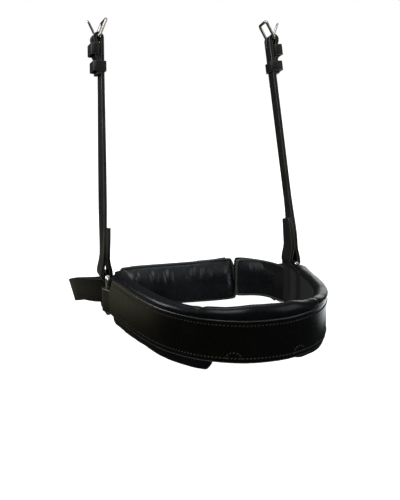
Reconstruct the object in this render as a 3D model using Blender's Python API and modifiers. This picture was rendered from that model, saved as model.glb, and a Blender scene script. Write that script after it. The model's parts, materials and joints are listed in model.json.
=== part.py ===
"""Bridle noseband: padded nosepiece, two rings, two cheek straps with buckles, and a padded chin strap.

Metres, +Z up. X runs across the noseband, -Y is its front, over the horse's nose. The origin lies
midway between the two rings, at half the height of the nosepiece.
"""

import math

import bmesh
import bpy
from mathutils import Matrix, Vector

MM = 0.001

# Clearances and mesh steps
GAP = 0.3 * MM
RUNNING_GAP = 0.4 * MM
CUT_OVERRUN = 2.0 * MM
WELD_DISTANCE = 0.01 * MM
TABLE_STEP = 1.0 * MM
ARC_STEPS = 8

# Rings, measured between wire centres
RING_HALF_SPAN = 76.5 * MM
RING_SIZE = 29.0 * MM
RING_WIRE = 4.0 * MM
RING_CORNER = 4.0 * MM
RING_DROP = 2.5 * MM

# Nosepiece, measured on the outer face of its leather panel
NOSE_STAND_OUT = 1.0 * MM
NOSE_HALF_WIDTH = RING_HALF_SPAN + NOSE_STAND_OUT
NOSE_DEPTH = 149.5 * MM
NOSE_THICKNESS = 9.0 * MM
PANEL_HEIGHT = 28.0 * MM
PANEL_THICKNESS = 2.6 * MM
NOSE_OUTLINE_SHARES = (
    (0.0, 1.0), (0.258, 0.977), (0.542, 0.883), (0.755, 0.723),
    (0.877, 0.515), (0.937, 0.355), (1.0, 0.161),
)
NOSE_STATIONS = 45

# Tabs that fold round the front bars of the rings
TAB_WIDTH = 18.0 * MM
TAB_TAPER = 7.0 * MM
TAB_TURN_BACK = 15.0 * MM
TAB_ROOM = 4.0 * MM

# Soft lining with its roll above the panel and its lip below
LINING_SKIN = 1.2 * MM
LINING_FLANGE = 5.0 * MM
LINING_OVERHANG = 11.0 * MM
LINING_END_ROUNDING = 9.0 * MM
LINING_END_WIDTH = 5.6 * MM
LINING_TAPER = 14.0 * MM
LINING_WAIST = 0.6 * MM
ROLL_RISE = 9.0 * MM
ROLL_RISE_SHARES = (
    (0.0, 0.78), (0.1, 0.72), (0.2, 0.63), (0.34, 0.6), (0.41, 0.8), (0.48, 1.0),
    (0.55, 0.97), (0.61, 0.68), (0.68, 0.44), (1.0, 0.42),
)
ROLL_STAND_OUT = 0.7 * MM
ROLL_FULL_RISE = 5.4 * MM
ROLL_LOW_RISE = 4.5 * MM
ROLL_ROOT = 1.0 * MM
ROLL_INSET_SHARE = 1.3
ROLL_LEAST_RISE = 3.6 * MM
RING_NEAR = 7.0 * MM
LIP_DROP = 8.5 * MM
LIP_DROP_SHARES = (
    (0.0, 1.0), (0.07, 0.9), (0.2, 0.72), (0.27, 0.82), (0.35, 0.87), (0.4, 0.05),
    (0.55, 0.05), (0.6, 0.85), (1.0, 0.7),
)
LIP_ROOT = 2.0 * MM
LIP_INSET_SHARE = 2.2
LIP_TAB_ROOT = -0.2 * MM
LIP_STEP = 0.2 * MM
RIGHT_END_FALL = 2.5 * MM
RIGHT_END_SHARES = ((0.75, 0.0), (0.9, 1.0))

# Cheek straps
CHEEK_WIDTH = 12.0 * MM
CHEEK_FOOT_WIDTH = 18.0 * MM
CHEEK_THICKNESS = 2.6 * MM
CHEEK_LENGTH = 177.5 * MM
CHEEK_LEAN_BACK = math.radians(12.5)
LEFT_LEAN_IN = math.radians(2.9)
RIGHT_LEAN_IN = math.radians(4.1)
LEFT_TWIST = math.radians(12.0)
TWIST_START = 15.0 * MM
TWIST_FULL = 54.0 * MM
TWIST_EASING = 0.65
CHEEK_CURVE_START = 8.0 * MM
CHEEK_CURVE_END = 40.0 * MM
CHEEK_FOOT_END = 48.0 * MM
CHEEK_FOOT_START = 16.0 * MM
FOOT_LEAF_LENGTH = 34.5 * MM
FOOT_CLOSING = 13.0 * MM
FOOT_NARROWING = 1.8 * MM
HEAD_LEAF_LENGTH = 27.5 * MM
HEAD_CLOSING = 5.5 * MM

# Keepers on the cheek straps
KEEPER_THICKNESS = 1.2 * MM
KEEPER_ROOM = 2.0 * MM
KEEPER_CORNER = 1.6 * MM
FIXED_KEEPER_WIDTH = 8.4 * MM
FIXED_KEEPER_DROP = 8.8 * MM
RUNNER_WIDTH = 7.5 * MM
RUNNER_DROP = 21.5 * MM

# Buckles on the cheek straps
BUCKLE_WIDTH = 18.0 * MM
BUCKLE_LENGTH = 15.0 * MM
BUCKLE_WIRE = 2.5 * MM
BUCKLE_CORNER = 1.6 * MM
BUCKLE_LEAN_IN = math.radians(22.0)
TONGUE_WIRE = 2.0 * MM
TONGUE_SLOT = 3.4 * MM
TONGUE_SLOT_DEPTH = 5.0 * MM
TONGUE_LENGTH = 15.5 * MM
TONGUE_BEND_SHARE = 2.2
TONGUE_WRAP = 215
TONGUE_LEAN_OUT = math.radians(28.0)

# Chin strap
CHIN_WIDTH = 18.0 * MM
CHIN_THICKNESS = 3.0 * MM
CHIN_DROP = 4.8 * MM
CHIN_FOLD_LEAF = 34.0 * MM
CHIN_FOLD_CLOSING = 9.0 * MM
CHIN_STEP_RUN = 11.5 * MM
CHIN_STEP_START = RING_HALF_SPAN - CHIN_STEP_RUN
LOOP_REACH = 20.0 * MM
LOOP_DEPTH = 33.0 * MM
LOOP_TURN = 108
LOOP_SAG = math.radians(16.0)
LOOP_SAG_EASING = 8.0 * MM
LOOP_TWIST = math.radians(13.0)
LOOP_SHARES = (
    (0.30, -0.06), (0.70, 0.14), (0.93, 0.38), (1.0, 0.62), (0.88, 0.86), (0.5, 1.0),
    (0.0, 0.97), (-0.5, 0.80), (-0.98, 0.575), (-1.4, 0.36),
)
BILLET_TAIL = 34.0 * MM
BILLET_TIP = 7.0 * MM
HOLE_DIAMETER = 3.4 * MM
HOLE_PITCH = 20.4 * MM
HOLE_ORDER = (-3, -2, -1, 1)
HOLE_SEARCH_POINTS = 600

# Chin buckle, its roller and its chape
CHIN_BUCKLE_INSET = 50.5 * MM
CHIN_BUCKLE_CENTRE = CHIN_BUCKLE_INSET - RING_HALF_SPAN
CHIN_BUCKLE_LENGTH = 22.0 * MM
CHIN_BUCKLE_WIDTH = 27.0 * MM
CHIN_BUCKLE_WIRE = 3.0 * MM
CHIN_BUCKLE_CORNER = 3.5 * MM
ROLLER_WALL = 1.0 * MM
ROLLER_LENGTH = 16.5 * MM
CHIN_TONGUE_WIRE = 2.4 * MM
CHIN_TONGUE_OVERHANG = 4.0 * MM
CHAPE_THICKNESS = 2.0 * MM
CHAPE_LENGTH = 30.0 * MM
CHAPE_CLOSING = 8.0 * MM
CHAPE_SLOT = 4.2 * MM
CHAPE_SLOT_DEPTH = 6.0 * MM
CHIN_KEEPER_WIDTH = 8.0 * MM
CHIN_KEEPER_THICKNESS = 1.2 * MM
CHIN_KEEPER_OFFSET = 16.5 * MM
CHIN_RUNNER_OFFSET = 27.0 * MM

# Chin pads
PAD_BACKING = 1.8 * MM
PAD_SKIN = 1.2 * MM
PAD_FLANGE = 3.0 * MM
PAD_SHOULDER = 8.0 * MM
PAD_DRAWN_IN = 1.2 * MM
PAD_CORNER_SHARE = 0.06
LEFT_PAD_RING_GAP = 12.5 * MM
RIGHT_PAD_RING_GAP = 8.5 * MM
RIGHT_PAD_LENGTH = 37.0 * MM
RIGHT_PAD_END = RING_HALF_SPAN - RIGHT_PAD_RING_GAP
RIGHT_PAD_START = RIGHT_PAD_END - RIGHT_PAD_LENGTH
LEFT_PAD_START = LEFT_PAD_RING_GAP - RING_HALF_SPAN
LEFT_PAD_SLANT = 4.0 * MM
LEFT_PAD_TOP = 11.8 * MM
LEFT_PAD_TOP_RISE = 4.0 * MM
LEFT_PAD_FOOT = -21.0 * MM
LEFT_PAD_CROWN = 9.0 * MM
LEFT_PAD_EASING = (1, 4)
RIGHT_PAD_TOP = 15.0 * MM
RIGHT_PAD_TOP_FALL = 7.7 * MM
RIGHT_PAD_FOOT = -15.7 * MM
RIGHT_PAD_FOOT_FALL = 11.5 * MM
RIGHT_PAD_CROWN = 5.0 * MM
RIGHT_PAD_EASING = (3, 2)
PAD_COLUMNS = 20
PAD_ROWS = 11

# Colours and finishes: base colour, roughness, metallic
BLACK_LEATHER = ("black_leather", (0.016, 0.016, 0.017), 0.42, 0.0)
SOFT_LEATHER = ("soft_leather", (0.018, 0.019, 0.022), 0.5, 0.0)
SUEDE_LEATHER = ("backing_leather", (0.03, 0.027, 0.023), 0.85, 0.0)
FOAM = ("foam", (0.32, 0.32, 0.3), 0.95, 0.0)
STEEL = ("polished_steel", (0.72, 0.72, 0.71), 0.2, 1.0)


# Scene and materials

def clear_scene():
    for thing in list(bpy.data.objects):
        bpy.data.objects.remove(thing, do_unlink=True)


def new_collection(name):
    group = bpy.data.collections.new(name)
    bpy.context.scene.collection.children.link(group)
    return group


def material(finish):
    name, colour, roughness, metallic = finish
    found = bpy.data.materials.get(name)
    if found:
        return found
    made = bpy.data.materials.new(name)
    made.use_nodes = True
    shader = made.node_tree.nodes["Principled BSDF"]
    shader.inputs["Base Color"].default_value = (*colour, 1.0)
    shader.inputs["Roughness"].default_value = roughness
    shader.inputs["Metallic"].default_value = metallic
    return made


def link(thing, finish, group, parent=None):
    group.objects.link(thing)
    if finish:
        thing.data.materials.append(material(finish))
    if parent:
        thing.parent = parent
    return thing


def pivot(name, group, place, rotation=(0.0, 0.0, 0.0), parent=None, order="XYZ"):
    """An empty on a joint's axis, which carries the pieces that turn about it."""
    empty = bpy.data.objects.new(name, None)
    empty.location = place
    empty.rotation_mode = order
    empty.rotation_euler = rotation
    empty.empty_display_size = RING_SIZE / 2
    return link(empty, None, group, parent)


# Paths and outlines

def smooth(share):
    share = min(1.0, max(0.0, share))
    return share * share * (3.0 - 2.0 * share)


def looked_up(table, share):
    """The value at a share in a table of (share, value), straight between its entries."""
    for (a, one), (b, other) in zip(table, table[1:]):
        if share < b:
            return one + (other - one) * max(0.0, share - a) / (b - a)
    return table[-1][1]


def arc(centre, radius, start, end, steps=ARC_STEPS):
    """Points on a circular arc, from one angle to another, in degrees."""
    angles = [math.radians(start + (end - start) * i / steps) for i in range(steps + 1)]
    return [(centre[0] + radius * math.cos(a), centre[1] + radius * math.sin(a)) for a in angles]


def eased(start, end, steps=4):
    """Points from start to end that change the first coordinate smoothly along the second."""
    points = []
    for i in range(steps + 1):
        share = i / steps
        points.append((start[0] + (end[0] - start[0]) * smooth(share),
                       start[1] + (end[1] - start[1]) * share))
    return points


def spline(points, steps):
    """A smooth curve through the points."""
    ends = [tuple(2 * a - b for a, b in zip(points[0], points[1]))]
    ends.append(tuple(2 * a - b for a, b in zip(points[-1], points[-2])))
    knots = [Vector(p) for p in [ends[0], *points, ends[1]]]
    curve = []
    for before, start, end, after in zip(knots, knots[1:], knots[2:], knots[3:]):
        for i in range(steps):
            t = i / steps
            curve.append(0.5 * (2 * start + (end - before) * t
                                + (2 * before - 5 * start + 4 * end - after) * t * t
                                + (3 * start - before - 3 * end + after) * t ** 3))
    return [*curve, knots[-2]]


def resampled(points, count):
    """The same line with its points at equal distances."""
    points = [Vector(p) for p in points]
    lengths = [0.0]
    for a, b in zip(points, points[1:]):
        lengths.append(lengths[-1] + (b - a).length)
    even, k = [], 0
    for i in range(count):
        wanted = lengths[-1] * i / (count - 1)
        while k < len(points) - 2 and lengths[k + 1] < wanted:
            k += 1
        share = (wanted - lengths[k]) / (lengths[k + 1] - lengths[k])
        even.append(points[k].lerp(points[k + 1], share))
    return even


def rounded_frame(width, length, corner, steps=3):
    """A rectangle with round corners, centred on zero, as points in order."""
    x, y = width / 2 - corner, length / 2 - corner
    points = []
    for start, (cx, cy) in zip((0, 90, 180, 270), ((x, y), (-x, y), (-x, -y), (x, -y))):
        points += arc((cx, cy), corner, start, start + 90, steps)
    return points


def side_normals(points):
    """Unit normals of a plane line, to the left of its direction."""
    normals = []
    for i in range(len(points)):
        ahead = points[min(i + 1, len(points) - 1)] - points[max(i - 1, 0)]
        normals.append(Vector((-ahead.y, ahead.x)).normalized())
    return normals


# Meshes

def grid_object(name, rows, finish, group, parent=None, closed=False):
    """A surface of quads through rows of points, not yet a solid."""
    mesh = bmesh.new()
    table = [[mesh.verts.new(p) for p in row] for row in rows]
    pairs = list(zip(table, table[1:]))
    if closed:
        pairs.append((table[-1], table[0]))
    for one, other in pairs:
        for i in range(len(one) - 1):
            mesh.faces.new((one[i], one[i + 1], other[i + 1], other[i]))
    data = bpy.data.meshes.new(name)
    mesh.to_mesh(data)
    mesh.free()
    return link(bpy.data.objects.new(name, data), finish, group, parent)


def add_thickness(thing, thickness, offset=0.0):
    wall = thing.modifiers.new("thickness", "SOLIDIFY")
    wall.thickness = thickness
    wall.offset = offset
    wall.use_even_offset = True
    return thing


def loft_object(name, rings, finish, group, parent=None):
    """A solid through closed rings of points, with flat ends."""
    mesh = bmesh.new()
    table = [[mesh.verts.new(p) for p in ring] for ring in rings]
    count = len(table[0])
    for one, other in zip(table, table[1:]):
        for i in range(count):
            j = (i + 1) % count
            mesh.faces.new((one[i], one[j], other[j], other[i]))
    mesh.faces.new(table[0])
    mesh.faces.new(table[-1])
    bmesh.ops.recalc_face_normals(mesh, faces=mesh.faces)
    data = bpy.data.meshes.new(name)
    mesh.to_mesh(data)
    mesh.free()
    return link(bpy.data.objects.new(name, data), finish, group, parent)


def wire_object(name, points, diameter, finish, group, parent=None, closed=True, resolution=2):
    """A round wire along the points."""
    curve = bpy.data.curves.new(name, "CURVE")
    curve.dimensions = "3D"
    curve.bevel_depth = diameter / 2
    curve.bevel_resolution = resolution
    curve.use_fill_caps = True
    line = curve.splines.new("POLY")
    line.points.add(len(points) - 1)
    for knot, point in zip(line.points, points):
        knot.co = (*point, 1.0)
    line.use_cyclic_u = closed
    return link(bpy.data.objects.new(name, curve), finish, group, parent)


def strip_object(name, centres, across, thickness, finish, group, parent=None, closed=False):
    """A leather strap: its middle line, and half its width as a vector at each point."""
    rows = [(c - a, c + a) for c, a in zip(centres, across)]
    thing = grid_object(name, rows, finish, group, parent, closed)
    return add_thickness(thing, thickness)


def cutter_box(name, size, place, group, parent=None):
    bpy.ops.mesh.primitive_cube_add(size=1.0)
    box = bpy.context.object
    box.name = name
    for owner in list(box.users_collection):
        owner.objects.unlink(box)
    box.data.transform(Matrix.Diagonal((*size, 1.0)))
    box.location = place
    return link_cutter(box, group, parent)


def cutter_rod(name, radius, length, place, rotation, group, parent=None):
    bpy.ops.mesh.primitive_cylinder_add(vertices=16, radius=radius, depth=length)
    rod = bpy.context.object
    rod.name = name
    for owner in list(rod.users_collection):
        owner.objects.unlink(rod)
    rod.location = place
    rod.rotation_euler = rotation
    return link_cutter(rod, group, parent)


def link_cutter(tool, group, parent):
    tool.hide_render = True
    tool.display_type = "WIRE"
    group.objects.link(tool)
    if parent:
        tool.parent = parent
    return tool


def cut(thing, tool):
    boolean = thing.modifiers.new("cut_" + tool.name, "BOOLEAN")
    boolean.operation = "DIFFERENCE"
    boolean.solver = "EXACT"
    boolean.object = tool
    return thing


# Nosepiece

def nose_outline(overhang=0.0):
    """The panel's outer face in plan, from its left end round the front to its right end."""
    half = [(x * NOSE_HALF_WIDTH, -y * NOSE_DEPTH) for x, y in NOSE_OUTLINE_SHARES]
    line = spline([(-x, y) for x, y in reversed(half[1:])] + half, ARC_STEPS)
    if overhang:
        left = (line[0] - line[1]).normalized() * overhang
        right = (line[-1] - line[-2]).normalized() * overhang
        line = [line[0] + left, *line, line[-1] + right]
    return resampled(line, NOSE_STATIONS)


def offset_line(points, distance):
    """The line moved inwards, towards the nose."""
    return [p + n * distance for p, n in zip(points, side_normals(points))]


def tab_path(side):
    """One tab's middle line, from the panel's end round the ring's bar and back inside the panel."""
    bar = (side * RING_HALF_SPAN, -RING_SIZE / 2)
    radius = RING_WIRE / 2 + GAP + PANEL_THICKNESS / 2
    turns = (0, 180) if side > 0 else (180, 0)
    fold = arc(bar, radius, *turns)
    outside = offset_line(nose_outline(), PANEL_THICKNESS / 2)
    end = outside[-1] if side > 0 else outside[0]
    swell = eased((end.x, end.y), fold[0])[1:-1]
    inside = offset_line(nose_outline(), PANEL_THICKNESS * 1.5 + GAP)
    inside = inside[::-1] if side > 0 else inside
    leaf = [p for p in inside if p.x * side > 0 and p.y > end.y - TAB_TURN_BACK]
    return [Vector(p) for p in swell + fold] + leaf


def make_panel(group):
    front = offset_line(nose_outline(), PANEL_THICKNESS / 2)
    left, right = tab_path(-1), tab_path(1)
    path = left[::-1] + front + right
    tab_top, tab_foot = TAB_WIDTH / 2 - CHIN_DROP, -TAB_WIDTH / 2 - CHIN_DROP
    centres, across = [], []
    for i, point in enumerate(path):
        from_end = min(i - len(left), len(path) - len(right) - 1 - i)
        distance = from_end * (front[1] - front[0]).length
        share = smooth(distance / TAB_TAPER)
        along = (i - len(left)) / (len(front) - 1)
        fall = RIGHT_END_FALL * looked_up(RIGHT_END_SHARES, along)
        top = tab_top + (PANEL_HEIGHT / 2 - fall - tab_top) * share
        foot = tab_foot + (-PANEL_HEIGHT / 2 - fall - tab_foot) * share
        centres.append(Vector((point.x, point.y, (top + foot) / 2)))
        across.append(Vector((0.0, 0.0, (top - foot) / 2)))
    return strip_object("nosepiece_panel", centres, across, PANEL_THICKNESS, BLACK_LEATHER, group)


def lining_section(station, inset):
    """The lining's round parts: (distance inwards, height), from the roll's front to the lip's."""
    top = PANEL_HEIGHT / 2
    flange, inner = station["flange"], station["inner"]
    roll_start = flange - station["overlap"]
    roll = (roll_start + inner) / 2
    half_roll = (inner - roll_start) / 2 - inset
    height = station["rise"] - ROLL_ROOT - inset * ROLL_INSET_SHARE
    lip_start = flange if inset else station["lip"]
    lip = (lip_start + inner) / 2
    half_lip = (inner - lip_start) / 2 - inset
    points = []
    for degrees in range(180, -1, -20):
        angle = math.radians(degrees)
        points.append((roll + half_roll * math.cos(angle),
                       top + ROLL_ROOT + height * math.sin(angle)))
    for share in (0.25, 0.5, 0.75):
        waist = LINING_WAIST * math.sin(math.pi * share)
        points.append((inner - inset - waist, top * (1 - 2 * share)))
    root = station["root"]
    depth = max(station["drop"] + root - inset * LIP_INSET_SHARE, GAP)
    for degrees in range(0, -181, -30):
        angle = math.radians(degrees)
        points.append((lip + half_lip * math.cos(angle),
                       root - top + depth * math.sin(angle)))
    return points


def lining_stations():
    """Each station of the lining: its place, inward direction and section sizes."""
    line = nose_outline(LINING_OVERHANG)
    pitch = (line[1] - line[0]).length
    limit = RING_HALF_SPAN - RING_WIRE / 2 - PANEL_THICKNESS - 3 * GAP
    ring_start = NOSE_OUTLINE_SHARES[-1][1] * -NOSE_DEPTH
    stations = []
    for i, (point, inward) in enumerate(zip(line, side_normals(line))):
        from_end = min(i, len(line) - 1 - i) * pitch
        along = i / (len(line) - 1)
        past_tab = from_end - LINING_OVERHANG - TAB_TURN_BACK - TAB_ROOM
        behind_tab = 1.0 - smooth(past_tab / LINING_TAPER)
        flange = PANEL_THICKNESS + GAP + behind_tab * (PANEL_THICKNESS + GAP)
        lip = PANEL_THICKNESS + GAP
        near = smooth((point.y - ring_start + RING_NEAR) / RING_NEAR)
        clear = max(0.0, abs(point.x) - limit) / abs(inward.x) if near else 0.0
        flange = max(flange, clear * near)
        lip = max(lip, clear * near)
        rise = ROLL_RISE * looked_up(ROLL_RISE_SHARES, along)
        out = smooth((rise - ROLL_LOW_RISE) / (ROLL_FULL_RISE - ROLL_LOW_RISE)) * (1.0 - near)
        size = math.sqrt(smooth(0.35 + 0.65 * from_end / LINING_END_ROUNDING))
        width = max((NOSE_THICKNESS - flange) * (1.0 + size) / 2, LINING_END_WIDTH)
        stations.append({
            "point": point, "inward": inward, "flange": flange,
            "overlap": (flange + ROLL_STAND_OUT) * out,
            "fall": RIGHT_END_FALL * looked_up(RIGHT_END_SHARES, along),
            "inner": flange + width, "size": size, "lip": lip,
            "root": LIP_ROOT + (LIP_TAB_ROOT - LIP_ROOT) * behind_tab,
            "rise": max(rise * size, ROLL_LEAST_RISE),
            "drop": LIP_DROP * looked_up(LIP_DROP_SHARES, along) * size,
        })
    return stations


def placed(station, section):
    """A section's points in space."""
    spots = [(station["point"] + station["inward"] * inwards, height) for inwards, height in section]
    return [Vector((spot.x, spot.y, height - station["fall"])) for spot, height in spots]


def make_lining(group):
    rows = []
    for station in lining_stations():
        flange, top = station["flange"], PANEL_HEIGHT / 2
        section = [(flange, top - LINING_FLANGE), (flange, top + GAP)]
        section += lining_section(station, 0.0)
        section += [(flange, station["root"] - top + LIP_STEP), (flange, LINING_FLANGE - top)]
        rows.append(placed(station, section))
    thing = grid_object("nosepiece_lining", rows, SOFT_LEATHER, group)
    return add_thickness(thing, LINING_SKIN, 1.0)


def make_foam(group):
    rings = []
    inset = LINING_SKIN + 2 * GAP
    for station in lining_stations():
        if station["size"] < 0.999:
            continue
        section = lining_section(station, inset)
        limit = station["flange"] + inset + 2 * GAP
        rings.append(placed(station, [(max(n, limit), z) for n, z in section]))
    return loft_object("nosepiece_foam", rings, FOAM, group)


# Rings and cheek straps

def make_ring(side, group, carrier):
    name = "left" if side < 0 else "right"
    outline = rounded_frame(RING_SIZE, RING_SIZE, RING_CORNER)
    points = [(0.0, y + RING_SIZE / 2, z) for y, z in outline]
    return wire_object(name + "_ring", points, RING_WIRE, STEEL, group, carrier, resolution=3)


def lean_table():
    """The cheek strap's line: how far it has gone back and up at each length, and its lean there."""
    table = [(0.0, 0.0, 0.0)]
    span = CHEEK_CURVE_END - CHEEK_CURVE_START
    for i in range(1, int((CHEEK_LENGTH + HEAD_LEAF_LENGTH) / TABLE_STEP)):
        lean = CHEEK_LEAN_BACK * smooth((i * TABLE_STEP - CHEEK_CURVE_START) / span)
        back, up, _ = table[-1]
        table.append((back + TABLE_STEP * math.sin(lean), up + TABLE_STEP * math.cos(lean), lean))
    return table


LEAN_TABLE = lean_table()


def along_cheek(length):
    """Place and lean of the strap's middle line at a length above the ring's bar."""
    if length <= 0:
        return 0.0, length, 0.0
    i = min(int(length / TABLE_STEP), len(LEAN_TABLE) - 2)
    share = length / TABLE_STEP - i
    a, b = LEAN_TABLE[i], LEAN_TABLE[i + 1]
    return tuple(p + (q - p) * share for p, q in zip(a, b))


def cheek_twist(side, length):
    """How far the left strap is turned about its own line, most of it just above the foot."""
    if side > 0:
        return 0.0
    full = smooth((length - TWIST_START) / (TWIST_FULL - TWIST_START))
    eased_off = TWIST_EASING * smooth((length - TWIST_FULL) / (CHEEK_LENGTH - TWIST_FULL))
    return LEFT_TWIST * full * (1.0 - eased_off)


def cheek_point(side, outwards, length, sideways=0.0):
    """A point on a cheek strap: outwards from its ring's bar, along the strap, and across it."""
    back, up, lean = along_cheek(length)
    twist = cheek_twist(side, length)
    off = outwards - CHEEK_MAIN
    outwards = CHEEK_MAIN + off * math.cos(twist) + sideways * math.sin(twist)
    sideways = sideways * math.cos(twist) - off * math.sin(twist)
    return Vector((side * outwards, back + sideways * math.cos(lean), up - sideways * math.sin(lean)))


FOOT_RADIUS = RING_WIRE / 2 + GAP + CHEEK_THICKNESS / 2
HEAD_RADIUS = BUCKLE_WIRE / 2 + GAP + CHEEK_THICKNESS / 2
CHEEK_MAIN = FOOT_RADIUS - FOOT_NARROWING
LEAF_PITCH = CHEEK_THICKNESS + GAP
KEPT_PITCH = CHEEK_THICKNESS + KEEPER_THICKNESS + 2 * GAP


def cheek_profile():
    """The strap seen on edge, (outwards, along): foot leaf, fold, strap, fold and head leaf."""
    main = CHEEK_MAIN
    inner = main - LEAF_PITCH
    head = CHEEK_LENGTH
    keeper_foot = head - FIXED_KEEPER_DROP - FIXED_KEEPER_WIDTH / 2 - GAP
    steps = 4
    rows = [FOOT_CLOSING + (FOOT_LEAF_LENGTH - FOOT_CLOSING) * i / steps for i in range(1, steps + 1)]
    line = [(inner, row) for row in reversed(rows)]
    line += eased((inner, FOOT_CLOSING), (-FOOT_RADIUS, 0.0))
    line += arc((0.0, 0.0), FOOT_RADIUS, 180, 360)[1:]
    line += eased((FOOT_RADIUS, 0.0), (main, FOOT_CLOSING))[1:]
    rows += [FOOT_LEAF_LENGTH + (head - FOOT_LEAF_LENGTH) * i / 9 for i in range(1, 9)]
    line += [(main, row) for row in rows]
    line += arc((main + HEAD_RADIUS, head), HEAD_RADIUS, 180, 0)
    line += eased((main + 2 * HEAD_RADIUS, head), (main + KEPT_PITCH, head - HEAD_CLOSING))[1:]
    line += eased((main + KEPT_PITCH, keeper_foot),
                  (main + LEAF_PITCH, keeper_foot - LEAF_PITCH))
    line.append((main + LEAF_PITCH, head - HEAD_LEAF_LENGTH))
    return line


def cheek_half_width(length):
    share = smooth((length - CHEEK_FOOT_START) / (CHEEK_FOOT_END - CHEEK_FOOT_START))
    return (CHEEK_FOOT_WIDTH + (CHEEK_WIDTH - CHEEK_FOOT_WIDTH) * share) / 2


def make_cheek_strap(side, name, group, tools, carrier, head):
    centres, across = [], []
    for outwards, length in cheek_profile():
        middle = cheek_point(side, outwards, length)
        centres.append(middle)
        across.append(cheek_point(side, outwards, length, cheek_half_width(length)) - middle)
    strap = strip_object(name + "_cheek_strap", centres, across, CHEEK_THICKNESS,
                         BLACK_LEATHER, group, carrier)
    reach = HEAD_RADIUS + CHEEK_THICKNESS + CUT_OVERRUN
    height = TONGUE_SLOT_DEPTH + reach
    slot = cutter_box(name + "_tongue_slot", (2 * reach, TONGUE_SLOT, height),
                      (0.0, 0.0, height / 2 - TONGUE_SLOT_DEPTH), tools, head)
    return cut(strap, slot)


def make_keeper(name, side, inner, outer, length, width, group, carrier):
    """A closed leather loop round a cheek strap, between two distances outwards."""
    half = (CHEEK_WIDTH + KEEPER_THICKNESS) / 2 + RUNNING_GAP
    outline = rounded_frame(outer - inner, 2 * half, KEEPER_CORNER)
    centres, across = [], []
    for x, y in outline:
        outwards = (inner + outer) / 2 + x
        middle = cheek_point(side, outwards, length, y)
        centres.append(middle)
        across.append(cheek_point(side, outwards, length + width / 2, y) - middle)
    return strip_object(name, centres, across, KEEPER_THICKNESS, BLACK_LEATHER, group, carrier,
                        closed=True)


def hook_path(radius, length, wrap=255):
    """A tongue in its own plane: a straight shank along +b, then a hook round the bar at zero."""
    return [(radius, length)] + arc((0.0, 0.0), radius, 0, -wrap, 2 * ARC_STEPS)


def bent_hook_path(radius, length):
    """A tongue whose shank lies in line with its bar's centre, and bends round the bar at its foot."""
    bend = eased((0.0, TONGUE_BEND_SHARE * radius), (radius, 0.0))
    return [(0.0, length)] + bend + arc((0.0, 0.0), radius, 0, -TONGUE_WRAP, 2 * ARC_STEPS)[1:]


def make_cheek_buckle(side, name, group, head):
    hinge = pivot(name + "_buckle_pivot", group, (0.0, 0.0, 0.0),
                  (0.0, -side * BUCKLE_LEAN_IN, 0.0), head)
    outline = rounded_frame(BUCKLE_WIDTH - BUCKLE_WIRE, BUCKLE_LENGTH, BUCKLE_CORNER)
    points = [(0.0, y, z + BUCKLE_LENGTH / 2) for y, z in outline]
    wire_object(name + "_buckle_frame", points, BUCKLE_WIRE, STEEL, group, hinge)
    tongue = pivot(name + "_tongue_pivot", group, (0.0, 0.0, 0.0),
                   (0.0, side * (BUCKLE_LEAN_IN + TONGUE_LEAN_OUT), 0.0), hinge)
    radius = (BUCKLE_WIRE + TONGUE_WIRE) / 2 + GAP
    points = [(side * a, 0.0, b) for a, b in bent_hook_path(radius, TONGUE_LENGTH)]
    wire_object(name + "_buckle_tongue", points, TONGUE_WIRE, STEEL, group, tongue, closed=False)


def make_side(side, group, tools):
    """One ring with its cheek strap, keepers and buckle. Returns the ring's pivot."""
    name = "left" if side < 0 else "right"
    ring = pivot(name + "_ring_pivot", group,
                 (side * RING_HALF_SPAN, -RING_SIZE / 2, -RING_DROP))
    make_ring(side, group, ring)
    lean_in = LEFT_LEAN_IN if side < 0 else RIGHT_LEAN_IN
    cheek = pivot(name + "_cheek_pivot", group, (0.0, RING_SIZE / 2, RING_SIZE / 2),
                  (0.0, -side * lean_in, 0.0), ring)
    head = pivot(name + "_head", group, cheek_point(side, CHEEK_MAIN + HEAD_RADIUS, CHEEK_LENGTH),
                 (-CHEEK_LEAN_BACK, 0.0, -side * cheek_twist(side, CHEEK_LENGTH)), cheek, "ZYX")
    make_cheek_strap(side, name, group, tools, cheek, head)
    main = CHEEK_MAIN
    face = main + CHEEK_THICKNESS / 2
    make_keeper(name + "_fixed_keeper", side, face + GAP + KEEPER_THICKNESS / 2,
                main + KEPT_PITCH + (CHEEK_THICKNESS + KEEPER_THICKNESS) / 2 + KEEPER_ROOM,
                CHEEK_LENGTH - FIXED_KEEPER_DROP, FIXED_KEEPER_WIDTH, group, cheek)
    make_keeper(name + "_runner_keeper", side,
                main - (CHEEK_THICKNESS + KEEPER_THICKNESS) / 2 - RUNNING_GAP,
                main + LEAF_PITCH + (CHEEK_THICKNESS + KEEPER_THICKNESS) / 2 + KEEPER_ROOM,
                CHEEK_LENGTH - RUNNER_DROP, RUNNER_WIDTH, group, cheek)
    make_cheek_buckle(side, name, group, head)
    return ring


# Chin strap and its buckle, in plan

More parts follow.
